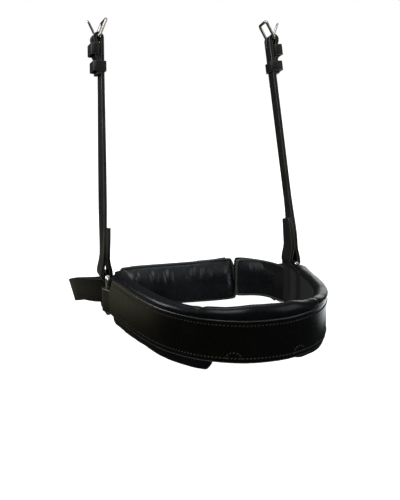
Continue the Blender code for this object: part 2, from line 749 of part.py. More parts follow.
CHIN_BAR = (RING_HALF_SPAN, RING_SIZE / 2)
CHIN_FOLD_RADIUS = RING_WIRE / 2 + GAP + CHIN_THICKNESS / 2
CHIN_PITCH = CHIN_THICKNESS + GAP
CHIN_LINE = CHIN_BAR[1] + CHIN_PITCH / 2
CHIN_BACK = CHIN_LINE + CHIN_THICKNESS / 2
CHIN_KEEPER_BAND = CHIN_BACK + GAP + CHIN_KEEPER_THICKNESS / 2
CHAPE_RADIUS = CHIN_BUCKLE_WIRE / 2 + GAP + CHAPE_THICKNESS / 2
CHAPE_LINE = CHIN_BACK + 2 * GAP + CHIN_KEEPER_THICKNESS + CHAPE_THICKNESS / 2
CHAPE_PITCH = CHAPE_THICKNESS + GAP
HEEL_SPAN = CHIN_BUCKLE_LENGTH - CHIN_BUCKLE_WIRE
HEEL_BAR = (CHIN_BUCKLE_CENTRE + HEEL_SPAN / 2, CHAPE_LINE + CHAPE_RADIUS)
BILLET_LOW = CHIN_BACK + GAP + CHIN_THICKNESS / 2
ROLLER_RADIUS = CHIN_BUCKLE_WIRE / 2 + GAP + ROLLER_WALL
ROLLER_BAR = (HEEL_BAR[0] - HEEL_SPAN, BILLET_LOW + CHIN_THICKNESS / 2 + GAP + ROLLER_RADIUS)
BILLET_LINE = CHAPE_LINE + CHAPE_PITCH + (CHAPE_THICKNESS + CHIN_THICKNESS) / 2 + GAP
CHIN_TONGUE_RADIUS = (CHIN_BUCKLE_WIRE + CHIN_TONGUE_WIRE) / 2 + GAP
BILLET_RADIUS = CHIN_TONGUE_RADIUS + (CHIN_TONGUE_WIRE + CHIN_THICKNESS) / 2 + GAP


def chape_path():
    """The chape's middle line in plan: inner leaf, fold round the heel bar, outer leaf."""
    heel_x, heel_y = HEEL_BAR
    end = heel_x + CHAPE_LENGTH
    upper = CHAPE_LINE + CHAPE_PITCH
    fold = arc(HEEL_BAR, CHAPE_RADIUS, 270, 90)
    fold += [(x, y) for y, x in eased((heel_y + CHAPE_RADIUS, heel_x),
                                      (upper, heel_x + CHAPE_CLOSING))][1:]
    return [Vector(p) for p in [(end, CHAPE_LINE), ((end + heel_x) / 2, CHAPE_LINE), *fold, (end, upper)]]


def chin_path():
    """The chin strap's middle line in plan: fold at the right ring, along the back, through the
    left ring, round in a loop, through the buckle and on to the billet's tip."""
    bar_x, bar_y = CHIN_BAR
    front = bar_y - CHIN_PITCH / 2
    closed = bar_x - CHIN_FOLD_CLOSING
    line = [(bar_x - CHIN_FOLD_LEAF, front)]
    line += [(x, y) for y, x in eased((front, closed), (bar_y - CHIN_FOLD_RADIUS, bar_x))]
    line += arc(CHIN_BAR, CHIN_FOLD_RADIUS, -90, 90)[1:]
    line += [(x, y) for y, x in eased((bar_y + CHIN_FOLD_RADIUS, bar_x), (CHIN_LINE, closed))][1:]
    runs = 8
    line += [(closed - (closed + CHIN_STEP_START) * i / runs, CHIN_LINE) for i in range(1, runs)]
    line += [(x, y) for y, x in eased((CHIN_LINE, -CHIN_STEP_START),
                                      (bar_y - CHIN_FOLD_RADIUS, -bar_x), 6)]
    turned = arc((-bar_x, bar_y), CHIN_FOLD_RADIUS, -90, -LOOP_TURN, 2)[1:]
    line += turned[:-1]
    loop = [turned[-1]] + [(-bar_x - LOOP_REACH * a, bar_y + LOOP_DEPTH * b) for a, b in LOOP_SHARES]
    under = ROLLER_RADIUS + GAP + CHIN_THICKNESS / 2
    gap = Vector(HEEL_BAR) - Vector(ROLLER_BAR)
    rise = math.degrees(math.asin((under + BILLET_RADIUS) / gap.length) + math.atan2(gap.y, gap.x))
    loop.append((ROLLER_BAR[0] - ROLLER_RADIUS, BILLET_LOW))
    line += [tuple(p) for p in spline(loop, 3)]
    line += arc(ROLLER_BAR, under, -90, rise - 90, 3)
    line += arc(HEEL_BAR, BILLET_RADIUS, 90 + rise, 90, 4)
    over = [p for p in chape_path() if p.x > HEEL_BAR[0] and p.y > CHAPE_LINE + GAP]
    line += [tuple(p) for p in offset_line(over, BILLET_RADIUS - CHAPE_RADIUS)[:-1]]
    flat = line[-1][0] + CHIN_THICKNESS
    tip = HEEL_BAR[0] + BILLET_TAIL
    line += [(flat + (tip - BILLET_TIP - flat) * i / 3, BILLET_LINE) for i in range(4)]
    line += [(tip - BILLET_TIP * (1 - i / 4), BILLET_LINE) for i in (1, 2, 3, 4)]
    return [Vector(p) for p in line]


def make_chin_strap(group, tools, carrier):
    path = chin_path()
    origin = carrier.location
    middle = -CHIN_DROP - origin.z
    normals = side_normals(path)
    centres, across = [], []
    for point, normal in zip(path, normals):
        half = CHIN_WIDTH / 2
        to_tip = (path[-1] - point).length
        if point.y > CHIN_BACK and to_tip < BILLET_TIP:
            share = 1.0 - to_tip / BILLET_TIP
            half *= math.sqrt(1.0 - 0.8 * share * share)
        beyond = max(0.0, -point.x - CHIN_BAR[0]) / LOOP_REACH
        twist = LOOP_TWIST * smooth(beyond)
        in_loop = point.x < ROLLER_BAR[0]
        back = max(0.0, point.y - BILLET_LOW) if in_loop else 0.0
        sag = LOOP_SAG * smooth(back / LOOP_SAG_EASING)
        drop = back * math.sin(sag)
        centres.append(Vector((point.x - origin.x, point.y - origin.y, middle - drop)))
        lean = normal * math.sin(twist) * half
        rise = math.cos(twist) * half
        across.append(Vector((lean.x, lean.y + rise * math.sin(sag), rise * math.cos(sag))))
    strap = strip_object("chin_strap", centres, across, CHIN_THICKNESS, BLACK_LEATHER, group, carrier)
    for rod in hole_rods(path, tools, carrier):
        cut(strap, rod)
    return strap


def tongue_line():
    """The chin tongue's shank in plan: where it leaves its bar, and its direction."""
    along = Vector(ROLLER_BAR) - Vector(HEEL_BAR)
    lift = ROLLER_RADIUS + GAP + CHIN_TONGUE_WIRE / 2
    tilt = math.asin((lift - CHIN_TONGUE_RADIUS) / along.length)
    return along.normalized(), tilt


def hole_rods(path, tools, carrier):
    """Rods that punch the billet's holes, the first of them along the tongue that stands in it."""
    origin = Vector((carrier.location.x, carrier.location.y))
    middle = -CHIN_DROP - carrier.location.z
    along, tilt = tongue_line()
    angle = math.atan2(along.y, along.x) - tilt
    shank = Vector((math.cos(angle), math.sin(angle)))
    normal = Vector((shank.y, -shank.x))
    start = Vector(HEEL_BAR) + normal * CHIN_TONGUE_RADIUS
    reach = BILLET_RADIUS + 2 * CHIN_THICKNESS + CUT_OVERRUN
    places = [(start + shank * reach / 2, angle, CHIN_TONGUE_WIRE / 2 + RUNNING_GAP, reach)]
    fine = resampled(path, HOLE_SEARCH_POINTS)
    normals = side_normals(fine)
    inside = [i for i, p in enumerate(fine) if ROLLER_BAR[0] < p.x < HEEL_BAR[0] and p.y > CHIN_BACK]
    crossing = min(inside, key=lambda i: abs((fine[i] - start).dot(normal)))
    pitch = round(HOLE_PITCH / (fine[1] - fine[0]).length)
    for count in HOLE_ORDER:
        spot, outwards = fine[crossing + count * pitch], normals[crossing + count * pitch]
        places.append((spot, math.atan2(outwards.y, outwards.x), HOLE_DIAMETER / 2,
                       CHIN_THICKNESS + GAP))
    rods = []
    for i, (spot, turn, radius, length) in enumerate(places):
        rods.append(cutter_rod("billet_hole_%d" % i, radius, length, (*(spot - origin), middle),
                               (0.0, math.pi / 2, turn), tools, carrier))
    return rods


def strip_in_plan(name, path, width, thickness, carrier, group):
    """A strap that stands on edge along a line in plan, at the chin strap's height."""
    origin = carrier.location
    middle = -CHIN_DROP - origin.z
    centres = [Vector((p[0] - origin.x, p[1] - origin.y, middle)) for p in path]
    across = [Vector((0.0, 0.0, width / 2))] * len(centres)
    return strip_object(name, centres, across, thickness, BLACK_LEATHER, group, carrier)


def make_chape(group, tools, carrier):
    heel_x, heel_y = HEEL_BAR
    path = chape_path()
    chape = strip_in_plan("chin_buckle_chape", path, CHIN_WIDTH, CHAPE_THICKNESS, carrier, group)
    reach = CHAPE_RADIUS + CHAPE_THICKNESS + CUT_OVERRUN
    width = reach + CHAPE_SLOT_DEPTH
    place = (heel_x + CHAPE_SLOT_DEPTH - width / 2 - carrier.location.x,
             heel_y - carrier.location.y, -CHIN_DROP - carrier.location.z)
    slot = cutter_box("chape_slot", (width, 2 * reach, CHAPE_SLOT), place, tools, carrier)
    return cut(chape, slot)


def make_chin_keeper(name, centre, carrier, group):
    """A loop round the chape and the billet, stitched in behind the chape."""
    inner = CHIN_KEEPER_BAND
    outer = BILLET_LINE + (CHIN_THICKNESS + CHIN_KEEPER_THICKNESS) / 2 + RUNNING_GAP
    half = (CHIN_WIDTH + CHIN_KEEPER_THICKNESS) / 2 + RUNNING_GAP
    origin = carrier.location
    outline = rounded_frame(outer - inner, 2 * half, KEEPER_CORNER)
    centres = [Vector((centre - origin.x, (inner + outer) / 2 + y - origin.y,
                       z - CHIN_DROP - origin.z)) for y, z in outline]
    across = [Vector((CHIN_KEEPER_WIDTH / 2, 0.0, 0.0))] * len(centres)
    return strip_object(name, centres, across, CHIN_KEEPER_THICKNESS, BLACK_LEATHER, group, carrier,
                        closed=True)


def make_chin_buckle(group, carrier):
    along, tilt = tongue_line()
    origin = carrier.location
    turn = math.atan2(along.y, along.x) - math.pi
    hinge = pivot("chin_buckle_pivot", group,
                  (HEEL_BAR[0] - origin.x, HEEL_BAR[1] - origin.y, -CHIN_DROP - origin.z),
                  (0.0, 0.0, turn), carrier)
    outline = rounded_frame(HEEL_SPAN, CHIN_BUCKLE_WIDTH - CHIN_BUCKLE_WIRE, CHIN_BUCKLE_CORNER)
    points = [(x - HEEL_SPAN / 2, 0.0, z) for x, z in outline]
    wire_object("chin_buckle_frame", points, CHIN_BUCKLE_WIRE, STEEL, group, hinge)
    make_roller(group, hinge)
    tongue = pivot("chin_tongue_pivot", group, (0.0, 0.0, 0.0), (0.0, 0.0, -tilt), hinge)
    length = (Vector(ROLLER_BAR) - Vector(HEEL_BAR)).length + CHIN_TONGUE_OVERHANG
    points = [(-b, a, 0.0) for a, b in hook_path(CHIN_TONGUE_RADIUS, length)]
    wire_object("chin_buckle_tongue", points, CHIN_TONGUE_WIRE, STEEL, group, tongue, closed=False)


def make_roller(group, hinge):
    """A short tube that turns on the buckle's far bar."""
    inner = CHIN_BUCKLE_WIRE / 2 + GAP
    half = ROLLER_LENGTH / 2
    mesh = bpy.data.meshes.new("chin_buckle_roller")
    profile = [(ROLLER_RADIUS, 0.0, half), (ROLLER_RADIUS, 0.0, -half),
               (inner, 0.0, -half), (inner, 0.0, half)]
    mesh.from_pydata(profile, [(0, 1), (1, 2), (2, 3), (3, 0)], [])
    roller = link(bpy.data.objects.new("chin_buckle_roller", mesh), STEEL, group, hinge)
    roller.location = (-HEEL_SPAN, 0.0, 0.0)
    turned = roller.modifiers.new("turned", "SCREW")
    turned.axis = "Z"
    turned.steps = 20
    turned.render_steps = 20
    turned.use_merge_vertices = True
    turned.merge_threshold = WELD_DISTANCE
    return roller


# Chin pads

def pad_outline(name):
    """Corners of a pad seen from the front, as (x, z), and the places of its layers in Y."""
    if name == "left":
        corners = ((LEFT_PAD_START, LEFT_PAD_FOOT), (RIGHT_PAD_START, LEFT_PAD_FOOT),
                   (LEFT_PAD_START, LEFT_PAD_TOP),
                   (RIGHT_PAD_START - LEFT_PAD_SLANT, LEFT_PAD_TOP + LEFT_PAD_TOP_RISE))
        behind = CHIN_LINE - CHIN_THICKNESS / 2
        crown, easing = LEFT_PAD_CROWN, LEFT_PAD_EASING
    else:
        corners = ((RIGHT_PAD_START, RIGHT_PAD_FOOT),
                   (RIGHT_PAD_END, RIGHT_PAD_FOOT - RIGHT_PAD_FOOT_FALL),
                   (RIGHT_PAD_START, RIGHT_PAD_TOP),
                   (RIGHT_PAD_END, RIGHT_PAD_TOP - RIGHT_PAD_TOP_FALL))
        behind = CHIN_LINE - CHIN_PITCH - CHIN_THICKNESS / 2
        crown, easing = RIGHT_PAD_CROWN, RIGHT_PAD_EASING
    return corners, behind - GAP, crown, easing


def pad_point(corners, easing, u, v):
    """A point of the pad's outline plane for u and v from -1 to 1, with round corners."""
    u, v = u * (1.0 - PAD_CORNER_SHARE * v ** 6), v * (1.0 - PAD_CORNER_SHARE * u ** 6)
    across, up = (1.0 + u) / 2, (1.0 + v) / 2
    foot = [a + (b - a) * across ** power
            for a, b, power in zip(corners[0], corners[1], (1, easing[0]))]
    top = [a + (b - a) * across ** power
           for a, b, power in zip(corners[2], corners[3], (1, easing[1]))]
    x = foot[0] + (top[0] - foot[0]) * up
    z = foot[1] + (top[1] - foot[1]) * up
    return x, z - v * PAD_DRAWN_IN * (1.0 - u * u)


def pad_height(corners, crown, u, v):
    """How far the pad's front stands off its flange."""
    to_end = (1.0 - abs(u)) * (corners[1][0] - corners[0][0]) / 2
    to_edge = (1.0 - abs(v)) * (corners[2][1] - corners[0][1]) / 2
    swell = 1.0
    for distance in (to_end, to_edge):
        share = min(1.0, max(0.0, (distance - PAD_FLANGE) / PAD_SHOULDER))
        swell *= math.sin(share * math.pi / 2) ** 0.7 if share > 0 else 0.0
    return crown * swell


def spread(count):
    """Values from -1 to 1 that lie closer together at both ends."""
    return [math.sin(math.pi / 2 * (2 * i / (count - 1) - 1)) for i in range(count)]


def make_pad(name, group, carrier):
    corners, back, crown, easing = pad_outline(name)
    origin = carrier.location
    seat = back - PAD_BACKING - GAP

    def place(u, v, y):
        x, z = pad_point(corners, easing, u, v)
        return Vector((x - origin.x, y - origin.y, z - origin.z))

    rows = []
    for u in spread(PAD_COLUMNS):
        rows.append([place(u, v, seat - PAD_SKIN - pad_height(corners, crown, u, v))
                     for v in spread(PAD_ROWS)])
    cover = grid_object(name + "_chin_pad_cover", rows, SOFT_LEATHER, group, carrier)
    add_thickness(cover, PAD_SKIN, 1.0)

    rim = [(t, -1.0) for t in spread(PAD_COLUMNS)] + [(1.0, t) for t in spread(PAD_ROWS)[1:]]
    rim += [(-t, 1.0) for t in spread(PAD_COLUMNS)[1:]] + [(-1.0, -t) for t in spread(PAD_ROWS)[1:-1]]
    rings = [[place(u, v, y) for u, v in rim] for y in (back - PAD_BACKING, back)]
    loft_object(name + "_chin_pad_backing", rings, SUEDE_LEATHER, group, carrier)

    length = (corners[1][0] - corners[0][0]) / 2
    height = (corners[2][1] - corners[0][1]) / 2
    reach = [1.0 - (PAD_FLANGE + 2 * PAD_SKIN) / size for size in (length, height)]
    near = [(PAD_SKIN + GAP) / size for size in (length, height)]

    def depth(u, v):
        """The room under the cover, less its skin, at the lowest place nearby."""
        return min(pad_height(corners, crown, u + a * near[0], v + b * near[1])
                   for a in (-1, 0, 1) for b in (-1, 0, 1)) - PAD_SKIN - GAP

    make_filling(name, place, depth, seat, reach, group, carrier)


def make_filling(name, place, depth, seat, reach, group, carrier):
    """The foam under a pad's cover, as a closed solid on the backing."""
    mesh = bmesh.new()
    columns = [u * reach[0] for u in spread(PAD_COLUMNS // 2 + 2)]
    rows = [v * reach[1] for v in spread(PAD_ROWS // 2 + 3)]
    front = [[mesh.verts.new(place(u, v, seat - max(depth(u, v), GAP))) for v in rows] for u in columns]
    rear = [[mesh.verts.new(place(u, v, seat)) for v in rows] for u in columns]
    for table in (front, rear):
        for one, other in zip(table, table[1:]):
            for i in range(len(one) - 1):
                mesh.faces.new((one[i], one[i + 1], other[i + 1], other[i]))
    for a, b in ((front[0], rear[0]), (front[-1], rear[-1]),
                 ([r[0] for r in front], [r[0] for r in rear]),
                 ([r[-1] for r in front], [r[-1] for r in rear])):
        for i in range(len(a) - 1):
            mesh.faces.new((a[i], a[i + 1], b[i + 1], b[i]))
    bmesh.ops.recalc_face_normals(mesh, faces=mesh.faces)
    data = bpy.data.meshes.new(name + "_chin_pad_foam")
    mesh.to_mesh(data)
    mesh.free()
    link(bpy.data.objects.new(name + "_chin_pad_foam", data), FOAM, group, carrier)


def main():
    clear_scene()
    parts = new_collection("bridle_noseband")
    tools = new_collection("cutters")
    make_panel(parts)
    make_lining(parts)
    make_foam(parts)
    for side in (-1, 1):
        make_side(side, parts, tools)
    chin = pivot("chin_pivot", parts, (*CHIN_BAR, -RING_DROP))
    make_chin_strap(parts, tools, chin)
    make_chape(parts, tools, chin)
    make_chin_buckle(parts, chin)
    make_chin_keeper("chin_fixed_keeper", HEEL_BAR[0] + CHIN_KEEPER_OFFSET, chin, parts)
    make_chin_keeper("chin_runner_keeper", HEEL_BAR[0] + CHIN_RUNNER_OFFSET, chin, parts)
    for name in ("left", "right"):
        make_pad(name, parts, chin)


main()
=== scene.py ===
# %% [markdown]
# A bridle noseband of black leather, dressed on top of its CAD frame.
# The frame gives every piece its true place and size. This script gives each its surface: rounded
# and painted edges on the straps, with the paint kept lighter than the leather as a painted
# highlight, a soft roll with puckers, stuffed pads, stitches and steel.

# %% The frame
import json
import math

import bmesh
import bpy
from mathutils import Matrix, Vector, noise


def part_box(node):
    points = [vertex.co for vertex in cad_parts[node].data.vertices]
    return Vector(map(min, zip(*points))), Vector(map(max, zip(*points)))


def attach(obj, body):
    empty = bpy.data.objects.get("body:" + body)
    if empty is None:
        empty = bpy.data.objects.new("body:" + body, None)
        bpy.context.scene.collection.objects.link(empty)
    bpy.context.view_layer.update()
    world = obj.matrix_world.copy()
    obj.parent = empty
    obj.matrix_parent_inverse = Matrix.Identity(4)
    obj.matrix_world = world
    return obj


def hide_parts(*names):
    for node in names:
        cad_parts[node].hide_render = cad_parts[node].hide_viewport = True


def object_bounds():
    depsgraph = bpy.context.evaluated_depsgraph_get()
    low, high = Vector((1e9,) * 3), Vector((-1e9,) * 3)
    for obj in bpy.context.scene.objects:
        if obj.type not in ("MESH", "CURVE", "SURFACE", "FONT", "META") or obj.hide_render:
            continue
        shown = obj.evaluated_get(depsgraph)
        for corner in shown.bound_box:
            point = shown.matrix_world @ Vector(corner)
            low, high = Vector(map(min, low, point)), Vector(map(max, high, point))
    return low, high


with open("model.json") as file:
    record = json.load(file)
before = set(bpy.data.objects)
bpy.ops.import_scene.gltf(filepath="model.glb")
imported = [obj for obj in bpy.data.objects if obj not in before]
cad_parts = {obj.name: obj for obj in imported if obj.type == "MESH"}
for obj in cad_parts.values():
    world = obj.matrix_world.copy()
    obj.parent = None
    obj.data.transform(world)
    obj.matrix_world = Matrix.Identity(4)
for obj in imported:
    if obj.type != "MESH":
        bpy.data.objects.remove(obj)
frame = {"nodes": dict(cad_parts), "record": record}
CAD_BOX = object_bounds()
MM = 0.001
SIDES = ("left", "right")

# %% [markdown]
# Leather has three scales of detail: pores a fraction of a millimetre apart, soft clouds of tone
# where the hide took the dye unevenly, and faint scuffs that change only the shine. Every leather
# here needs all three, each in its own measure, so they live in one node group. An image could
# hold them too, but noise has no seams and stays sharp close up.

# %% Leather grain group


def new_group(name, kind, inputs, outputs):
    """A node group, with its sockets as pairs of label and type, and its two end nodes."""
    tree = bpy.data.node_groups.new(name, kind)
    for way, sockets in (("INPUT", inputs), ("OUTPUT", outputs)):
        for label, sort in sockets:
            tree.interface.new_socket(name=label, in_out=way, socket_type="NodeSocket" + sort)
    return tree, tree.nodes.new("NodeGroupInput"), tree.nodes.new("NodeGroupOutput")


def noise_node(tree, scale, detail, coordinates):
    node = tree.nodes.new("ShaderNodeTexNoise")
    node.inputs["Scale"].default_value = scale
    node.inputs["Detail"].default_value = detail
    tree.links.new(coordinates, node.inputs["Vector"])
    return node


def mapped(tree, value, low_from, high_from):
    """The value stretched to run from 0 to 1 between two levels."""
    node = tree.nodes.new("ShaderNodeMapRange")
    node.inputs["From Min"].default_value = low_from
    node.inputs["From Max"].default_value = high_from
    tree.links.new(value, node.inputs["Value"])
    return node.outputs["Result"]


def maths(tree, operation, first, second):
    node = tree.nodes.new("ShaderNodeMath")
    node.operation = operation
    for socket, value in zip(node.inputs, (first, second)):
        if isinstance(value, (int, float)):
            socket.default_value = value
        else:
            tree.links.new(value, socket)
    return node.outputs["Value"]


def mixed(tree, share, dark, light):
    node = tree.nodes.new("ShaderNodeMix")
    node.data_type = "RGBA"
    tree.links.new(share, node.inputs["Factor"])
    for label, colour in (("A", dark), ("B", light)):
        socket = [s for s in node.inputs if s.name == label and s.type == "RGBA"][0]
        if isinstance(colour, tuple):
            socket.default_value = (*colour, 1.0)
        else:
            tree.links.new(colour, socket)
    return [s for s in node.outputs if s.type == "RGBA"][0]


def leather_grain_group():
    tree, inside, out = new_group(
        "leather_grain", "ShaderNodeTree",
        (("Pore Scale", "Float"), ("Pore Share", "Float"), ("Dark", "Color"), ("Light", "Color"),
         ("Rough Low", "Float"), ("Rough High", "Float")),
        (("Color", "Color"), ("Roughness", "Float"), ("Height", "Float")))
    place = tree.nodes.new("ShaderNodeTexCoord").outputs["Object"]
    pores = tree.nodes.new("ShaderNodeTexVoronoi")
    pores.feature = "SMOOTH_F1"
    tree.links.new(place, pores.inputs["Vector"])
    tree.links.new(inside.outputs["Pore Scale"], pores.inputs["Scale"])
    clouds = noise_node(tree, 55.0, 4.0, place)
    scuffs = noise_node(tree, 420.0, 3.0, place)
    fine = noise_node(tree, 2600.0, 2.0, place)
    tone = mapped(tree, clouds.outputs["Fac"], 0.3, 0.72)
    tree.links.new(mixed(tree, tone, inside.outputs["Dark"], inside.outputs["Light"]), out.inputs["Color"])
    shine = mapped(tree, scuffs.outputs["Fac"], 0.3, 0.7)
    spread = maths(tree, "SUBTRACT", inside.outputs["Rough High"], inside.outputs["Rough Low"])
    rough = maths(tree, "ADD", inside.outputs["Rough Low"], maths(tree, "MULTIPLY", spread, shine))
    tree.links.new(rough, out.inputs["Roughness"])
    pits = maths(tree, "MULTIPLY", pores.outputs["Distance"], inside.outputs["Pore Share"])
    height = maths(tree, "ADD", pits, maths(tree, "MULTIPLY", fine.outputs["Fac"], 0.35))
    tree.links.new(height, out.inputs["Height"])
    return tree


GRAIN = leather_grain_group()
print("grain group:", len(GRAIN.nodes), "nodes")

# %% [markdown]
# The strap leather is dense and waxed, the lining is thin and soft, the inside is suede, and the
# cut edges are painted, in a paint lighter than the leather that partly stands for the line of light
# the shaved edges catch: a painted highlight. They differ in tone, shine and pore size, so one
# function makes them all from the grain group. The tones are very dark, because this leather is
# dyed through: what the eye sees on it is mostly shine. Plain numbers such as the coat stay on the
# shader's own sockets.

# %% Leather materials
COAT_ROUGHNESS = 0.25


def new_material(name):
    made = bpy.data.materials.new(name)
    made.use_nodes = True
    return made, made.node_tree, made.node_tree.nodes["Principled BSDF"]


def bumped(tree, shader, height, strength, distance):
    """Relief on the shader from a height, with the distance in metres."""
    relief = tree.nodes.new("ShaderNodeBump")
    relief.inputs["Strength"].default_value = strength
    relief.inputs["Distance"].default_value = distance
    tree.links.new(height, relief.inputs["Height"])
    tree.links.new(relief.outputs["Normal"], shader.inputs["Normal"])


def leather(name, dark, light, rough, pores, bump, coat=0.0, sheen=0.0, specular=0.5):
    """rough is (low, high), pores is (scale, share) and bump is (strength, distance)."""
    made, tree, shader = new_material(name)
    grain = tree.nodes.new("ShaderNodeGroup")
    grain.node_tree = GRAIN
    values = {"Pore Scale": pores[0], "Pore Share": pores[1], "Dark": (*dark, 1.0),
              "Light": (*light, 1.0), "Rough Low": rough[0], "Rough High": rough[1]}
    for label, value in values.items():
        grain.inputs[label].default_value = value
    tree.links.new(grain.outputs["Color"], shader.inputs["Base Color"])
    tree.links.new(grain.outputs["Roughness"], shader.inputs["Roughness"])
    bumped(tree, shader, grain.outputs["Height"], *bump)
    shader.inputs["Coat Weight"].default_value = coat
    shader.inputs["Coat Roughness"].default_value = COAT_ROUGHNESS
    shader.inputs["Sheen Weight"].default_value = sheen
    shader.inputs["Specular IOR Level"].default_value = specular
    return made


BRIDLE_LEATHER = leather("bridle_leather", (0.0002, 0.0005, 0.0008), (0.0016, 0.0015, 0.0010),
                         (0.25, 0.36), (1500.0, 0.5), (0.2, 0.0002), coat=0.08, specular=0.3)
STRAP_LEATHER = leather("strap_leather", (0.0035, 0.0034, 0.0030), (0.0130, 0.0122, 0.0098),
                        (0.36, 0.52), (1700.0, 0.6), (0.3, 0.0002), coat=0.04, specular=0.3)
SOFT_LEATHER = leather("soft_lining_leather", (0.0005, 0.0009, 0.0016), (0.0020, 0.0028, 0.0042),
                       (0.24, 0.35), (1200.0, 0.8), (0.14, 0.0002), coat=0.04, specular=0.24)
# The pads' leather is the soft lining leather made several times lighter: painted light, standing in for
# light that the lamps don't bring to the pads' fronts.
LIGHTENED_PAD_LEATHER = leather("pad_leather", (0.0024, 0.0034, 0.0046), (0.0100, 0.0130, 0.0160),
                      (0.26, 0.38), (1200.0, 0.8), (0.3, 0.0003), coat=0.06, specular=0.42)
SUEDE = leather("suede", (0.0036, 0.0035, 0.0032), (0.0088, 0.0081, 0.0071),
                (0.82, 0.95), (2600.0, 0.4), (0.6, 0.0004), sheen=0.04, specular=0.12)
WING_SUEDE = leather("wing_suede", (0.0060, 0.0064, 0.0066), (0.0130, 0.0132, 0.0130),
                     (0.72, 0.9), (2600.0, 0.4), (0.6, 0.0004), sheen=0.03, specular=0.12)
# Lighter than the leathers it edges: partly the real edge paint, partly a painted highlight for the line
# of light along the shaved edges.
EDGE_PAINT_AND_HIGHLIGHT = leather("edge_paint_and_painted_highlight", (0.030, 0.030, 0.029), (0.060, 0.058, 0.055),
                     (0.26, 0.40), (900.0, 0.3), (0.2, 0.0002), coat=0.15)
THREAD = leather("waxed_thread", (0.011, 0.011, 0.011), (0.034, 0.033, 0.031),
                 (0.45, 0.6), (4200.0, 0.7), (0.3, 0.0001), specular=0.3)
LEATHERS = (BRIDLE_LEATHER, STRAP_LEATHER, SOFT_LEATHER, LIGHTENED_PAD_LEATHER,
            SUEDE, WING_SUEDE, EDGE_PAINT_AND_HIGHLIGHT, THREAD)
print("leathers:", [made.name for made in LEATHERS])

# %% [markdown]
# The hardware is polished steel with a nickel tone. Handling leaves it a little uneven: the shine
# varies in soft patches and fine rubbing marks, and the patches have a warmer, duller tone.

# %% Steel


def polished_steel():
    made, tree, shader = new_material("polished_nickel_steel")
    place = tree.nodes.new("ShaderNodeTexCoord").outputs["Object"]
    patches = noise_node(tree, 160.0, 4.0, place)
    rubs = noise_node(tree, 1900.0, 2.0, place)
    patch = mapped(tree, patches.outputs["Fac"], 0.35, 0.68)
    tree.links.new(mixed(tree, patch, (0.62, 0.61, 0.59), (0.48, 0.43, 0.38)), shader.inputs["Base Color"])
    rough = maths(tree, "ADD", maths(tree, "MULTIPLY", patch, 0.14),
                  maths(tree, "MULTIPLY", rubs.outputs["Fac"], 0.18))
    tree.links.new(maths(tree, "ADD", rough, 0.06), shader.inputs["Roughness"])
    bumped(tree, shader, rubs.outputs["Fac"], 0.08, 0.0001)
    shader.inputs["Metallic"].default_value = 1.0
    return made


STEEL = polished_steel()
print("steel ready")

# %% [markdown]
# A real strap is cut square, then its corners are shaved round and its edges painted. The CAD
# strap has the place and the turns but sharp corners. A copy of its mesh, merged, with a Bevel on
# every sharp corner, gives the shaved edge and keeps the strap's true path. Building each strap
# again from its own curve would only risk a strap that no longer fits its ring.

# %% Dressing a rigid node
STRAP_SHAVE = 0.55 * MM
KEEPER_SHAVE = 0.3 * MM
SHARP_CORNER = math.radians(32)
SAME_POINT = 0.002 * MM
FLAT_ANGLE = math.radians(0.4)


def linked(name, data):
    """A new object in the scene with the given mesh or curve."""
    piece = bpy.data.objects.new(name, data)
    bpy.context.scene.collection.objects.link(piece)
    return piece


def finished(mesh, name):
    """The worked mesh as an object of the scene."""
    data = bpy.data.meshes.new(name)
    mesh.to_mesh(data)
    mesh.free()
    return linked(name, data)


def merged_mesh(node):
    """A CAD node's loose triangles joined into one closed surface with large flat faces."""
    mesh = bmesh.new()
    mesh.from_mesh(frame["nodes"][node].data)
    bmesh.ops.remove_doubles(mesh, verts=mesh.verts, dist=SAME_POINT)
    bmesh.ops.dissolve_limit(mesh, angle_limit=FLAT_ANGLE, verts=mesh.verts, edges=mesh.edges)
    return mesh


def merged_copy(node, name):
    mesh = merged_mesh(node)
    bmesh.ops.triangulate(mesh, faces=[f for f in mesh.faces if len(f.verts) > 4])
    return finished(mesh, name)


def evaluated_mesh(piece):
    graph = bpy.context.evaluated_depsgraph_get()
    return bpy.data.meshes.new_from_object(piece.evaluated_get(graph))


def baked(piece):
    """The piece with its modifiers made part of its mesh."""
    data = evaluated_mesh(piece)
    piece.modifiers.clear()
    piece.data = data
    return piece


def shaved(piece, width, segments=3):
    """Rounds every sharp corner. The new faces take the piece's second material, the edge paint,
    whose lighter tone is partly a painted highlight.
    """
    bevel = piece.modifiers.new("shaved edge", "BEVEL")
    bevel.material = len(piece.data.materials) - 1
    bevel.width = width
    bevel.segments = segments
    bevel.limit_method = "ANGLE"
    bevel.angle_limit = SHARP_CORNER
    bevel.use_clamp_overlap = True
    return baked(piece)


def smoothed(piece, angle=math.radians(40)):
    piece.data.shade_smooth()
    piece.data.set_sharp_from_angle(angle=angle)
    return piece


def set_look(piece, *materials):
    """Gives the piece its materials. An empty list isn't cleared, as that resets the faces' slots."""
    if piece.data.materials:
        piece.data.materials.clear()
    for made in materials:
        piece.data.materials.append(made)
    return piece


BODIES = frame["record"]["behaviour"]["bodies"]
BODY_OF = {node: body for body, nodes in BODIES.items() for node in nodes}


def settle(piece, slot, *nodes):
    """Rides the piece on its node's body, in the node's place."""
    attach(piece, BODY_OF[nodes[0]])
    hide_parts(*nodes)
    return piece


def dress_leather(node, name, shave):
    piece = set_look(merged_copy(node, name), STRAP_LEATHER, EDGE_PAINT_AND_HIGHLIGHT)
    return settle(smoothed(shaved(piece, shave)), "black_leather", node)


def dress_keepers(place):
    dress_leather(place + "_fixed_keeper", place + "_fixed_keeper_leather", KEEPER_SHAVE)
    dress_leather(place + "_runner_keeper", place + "_runner_leather", KEEPER_SHAVE)


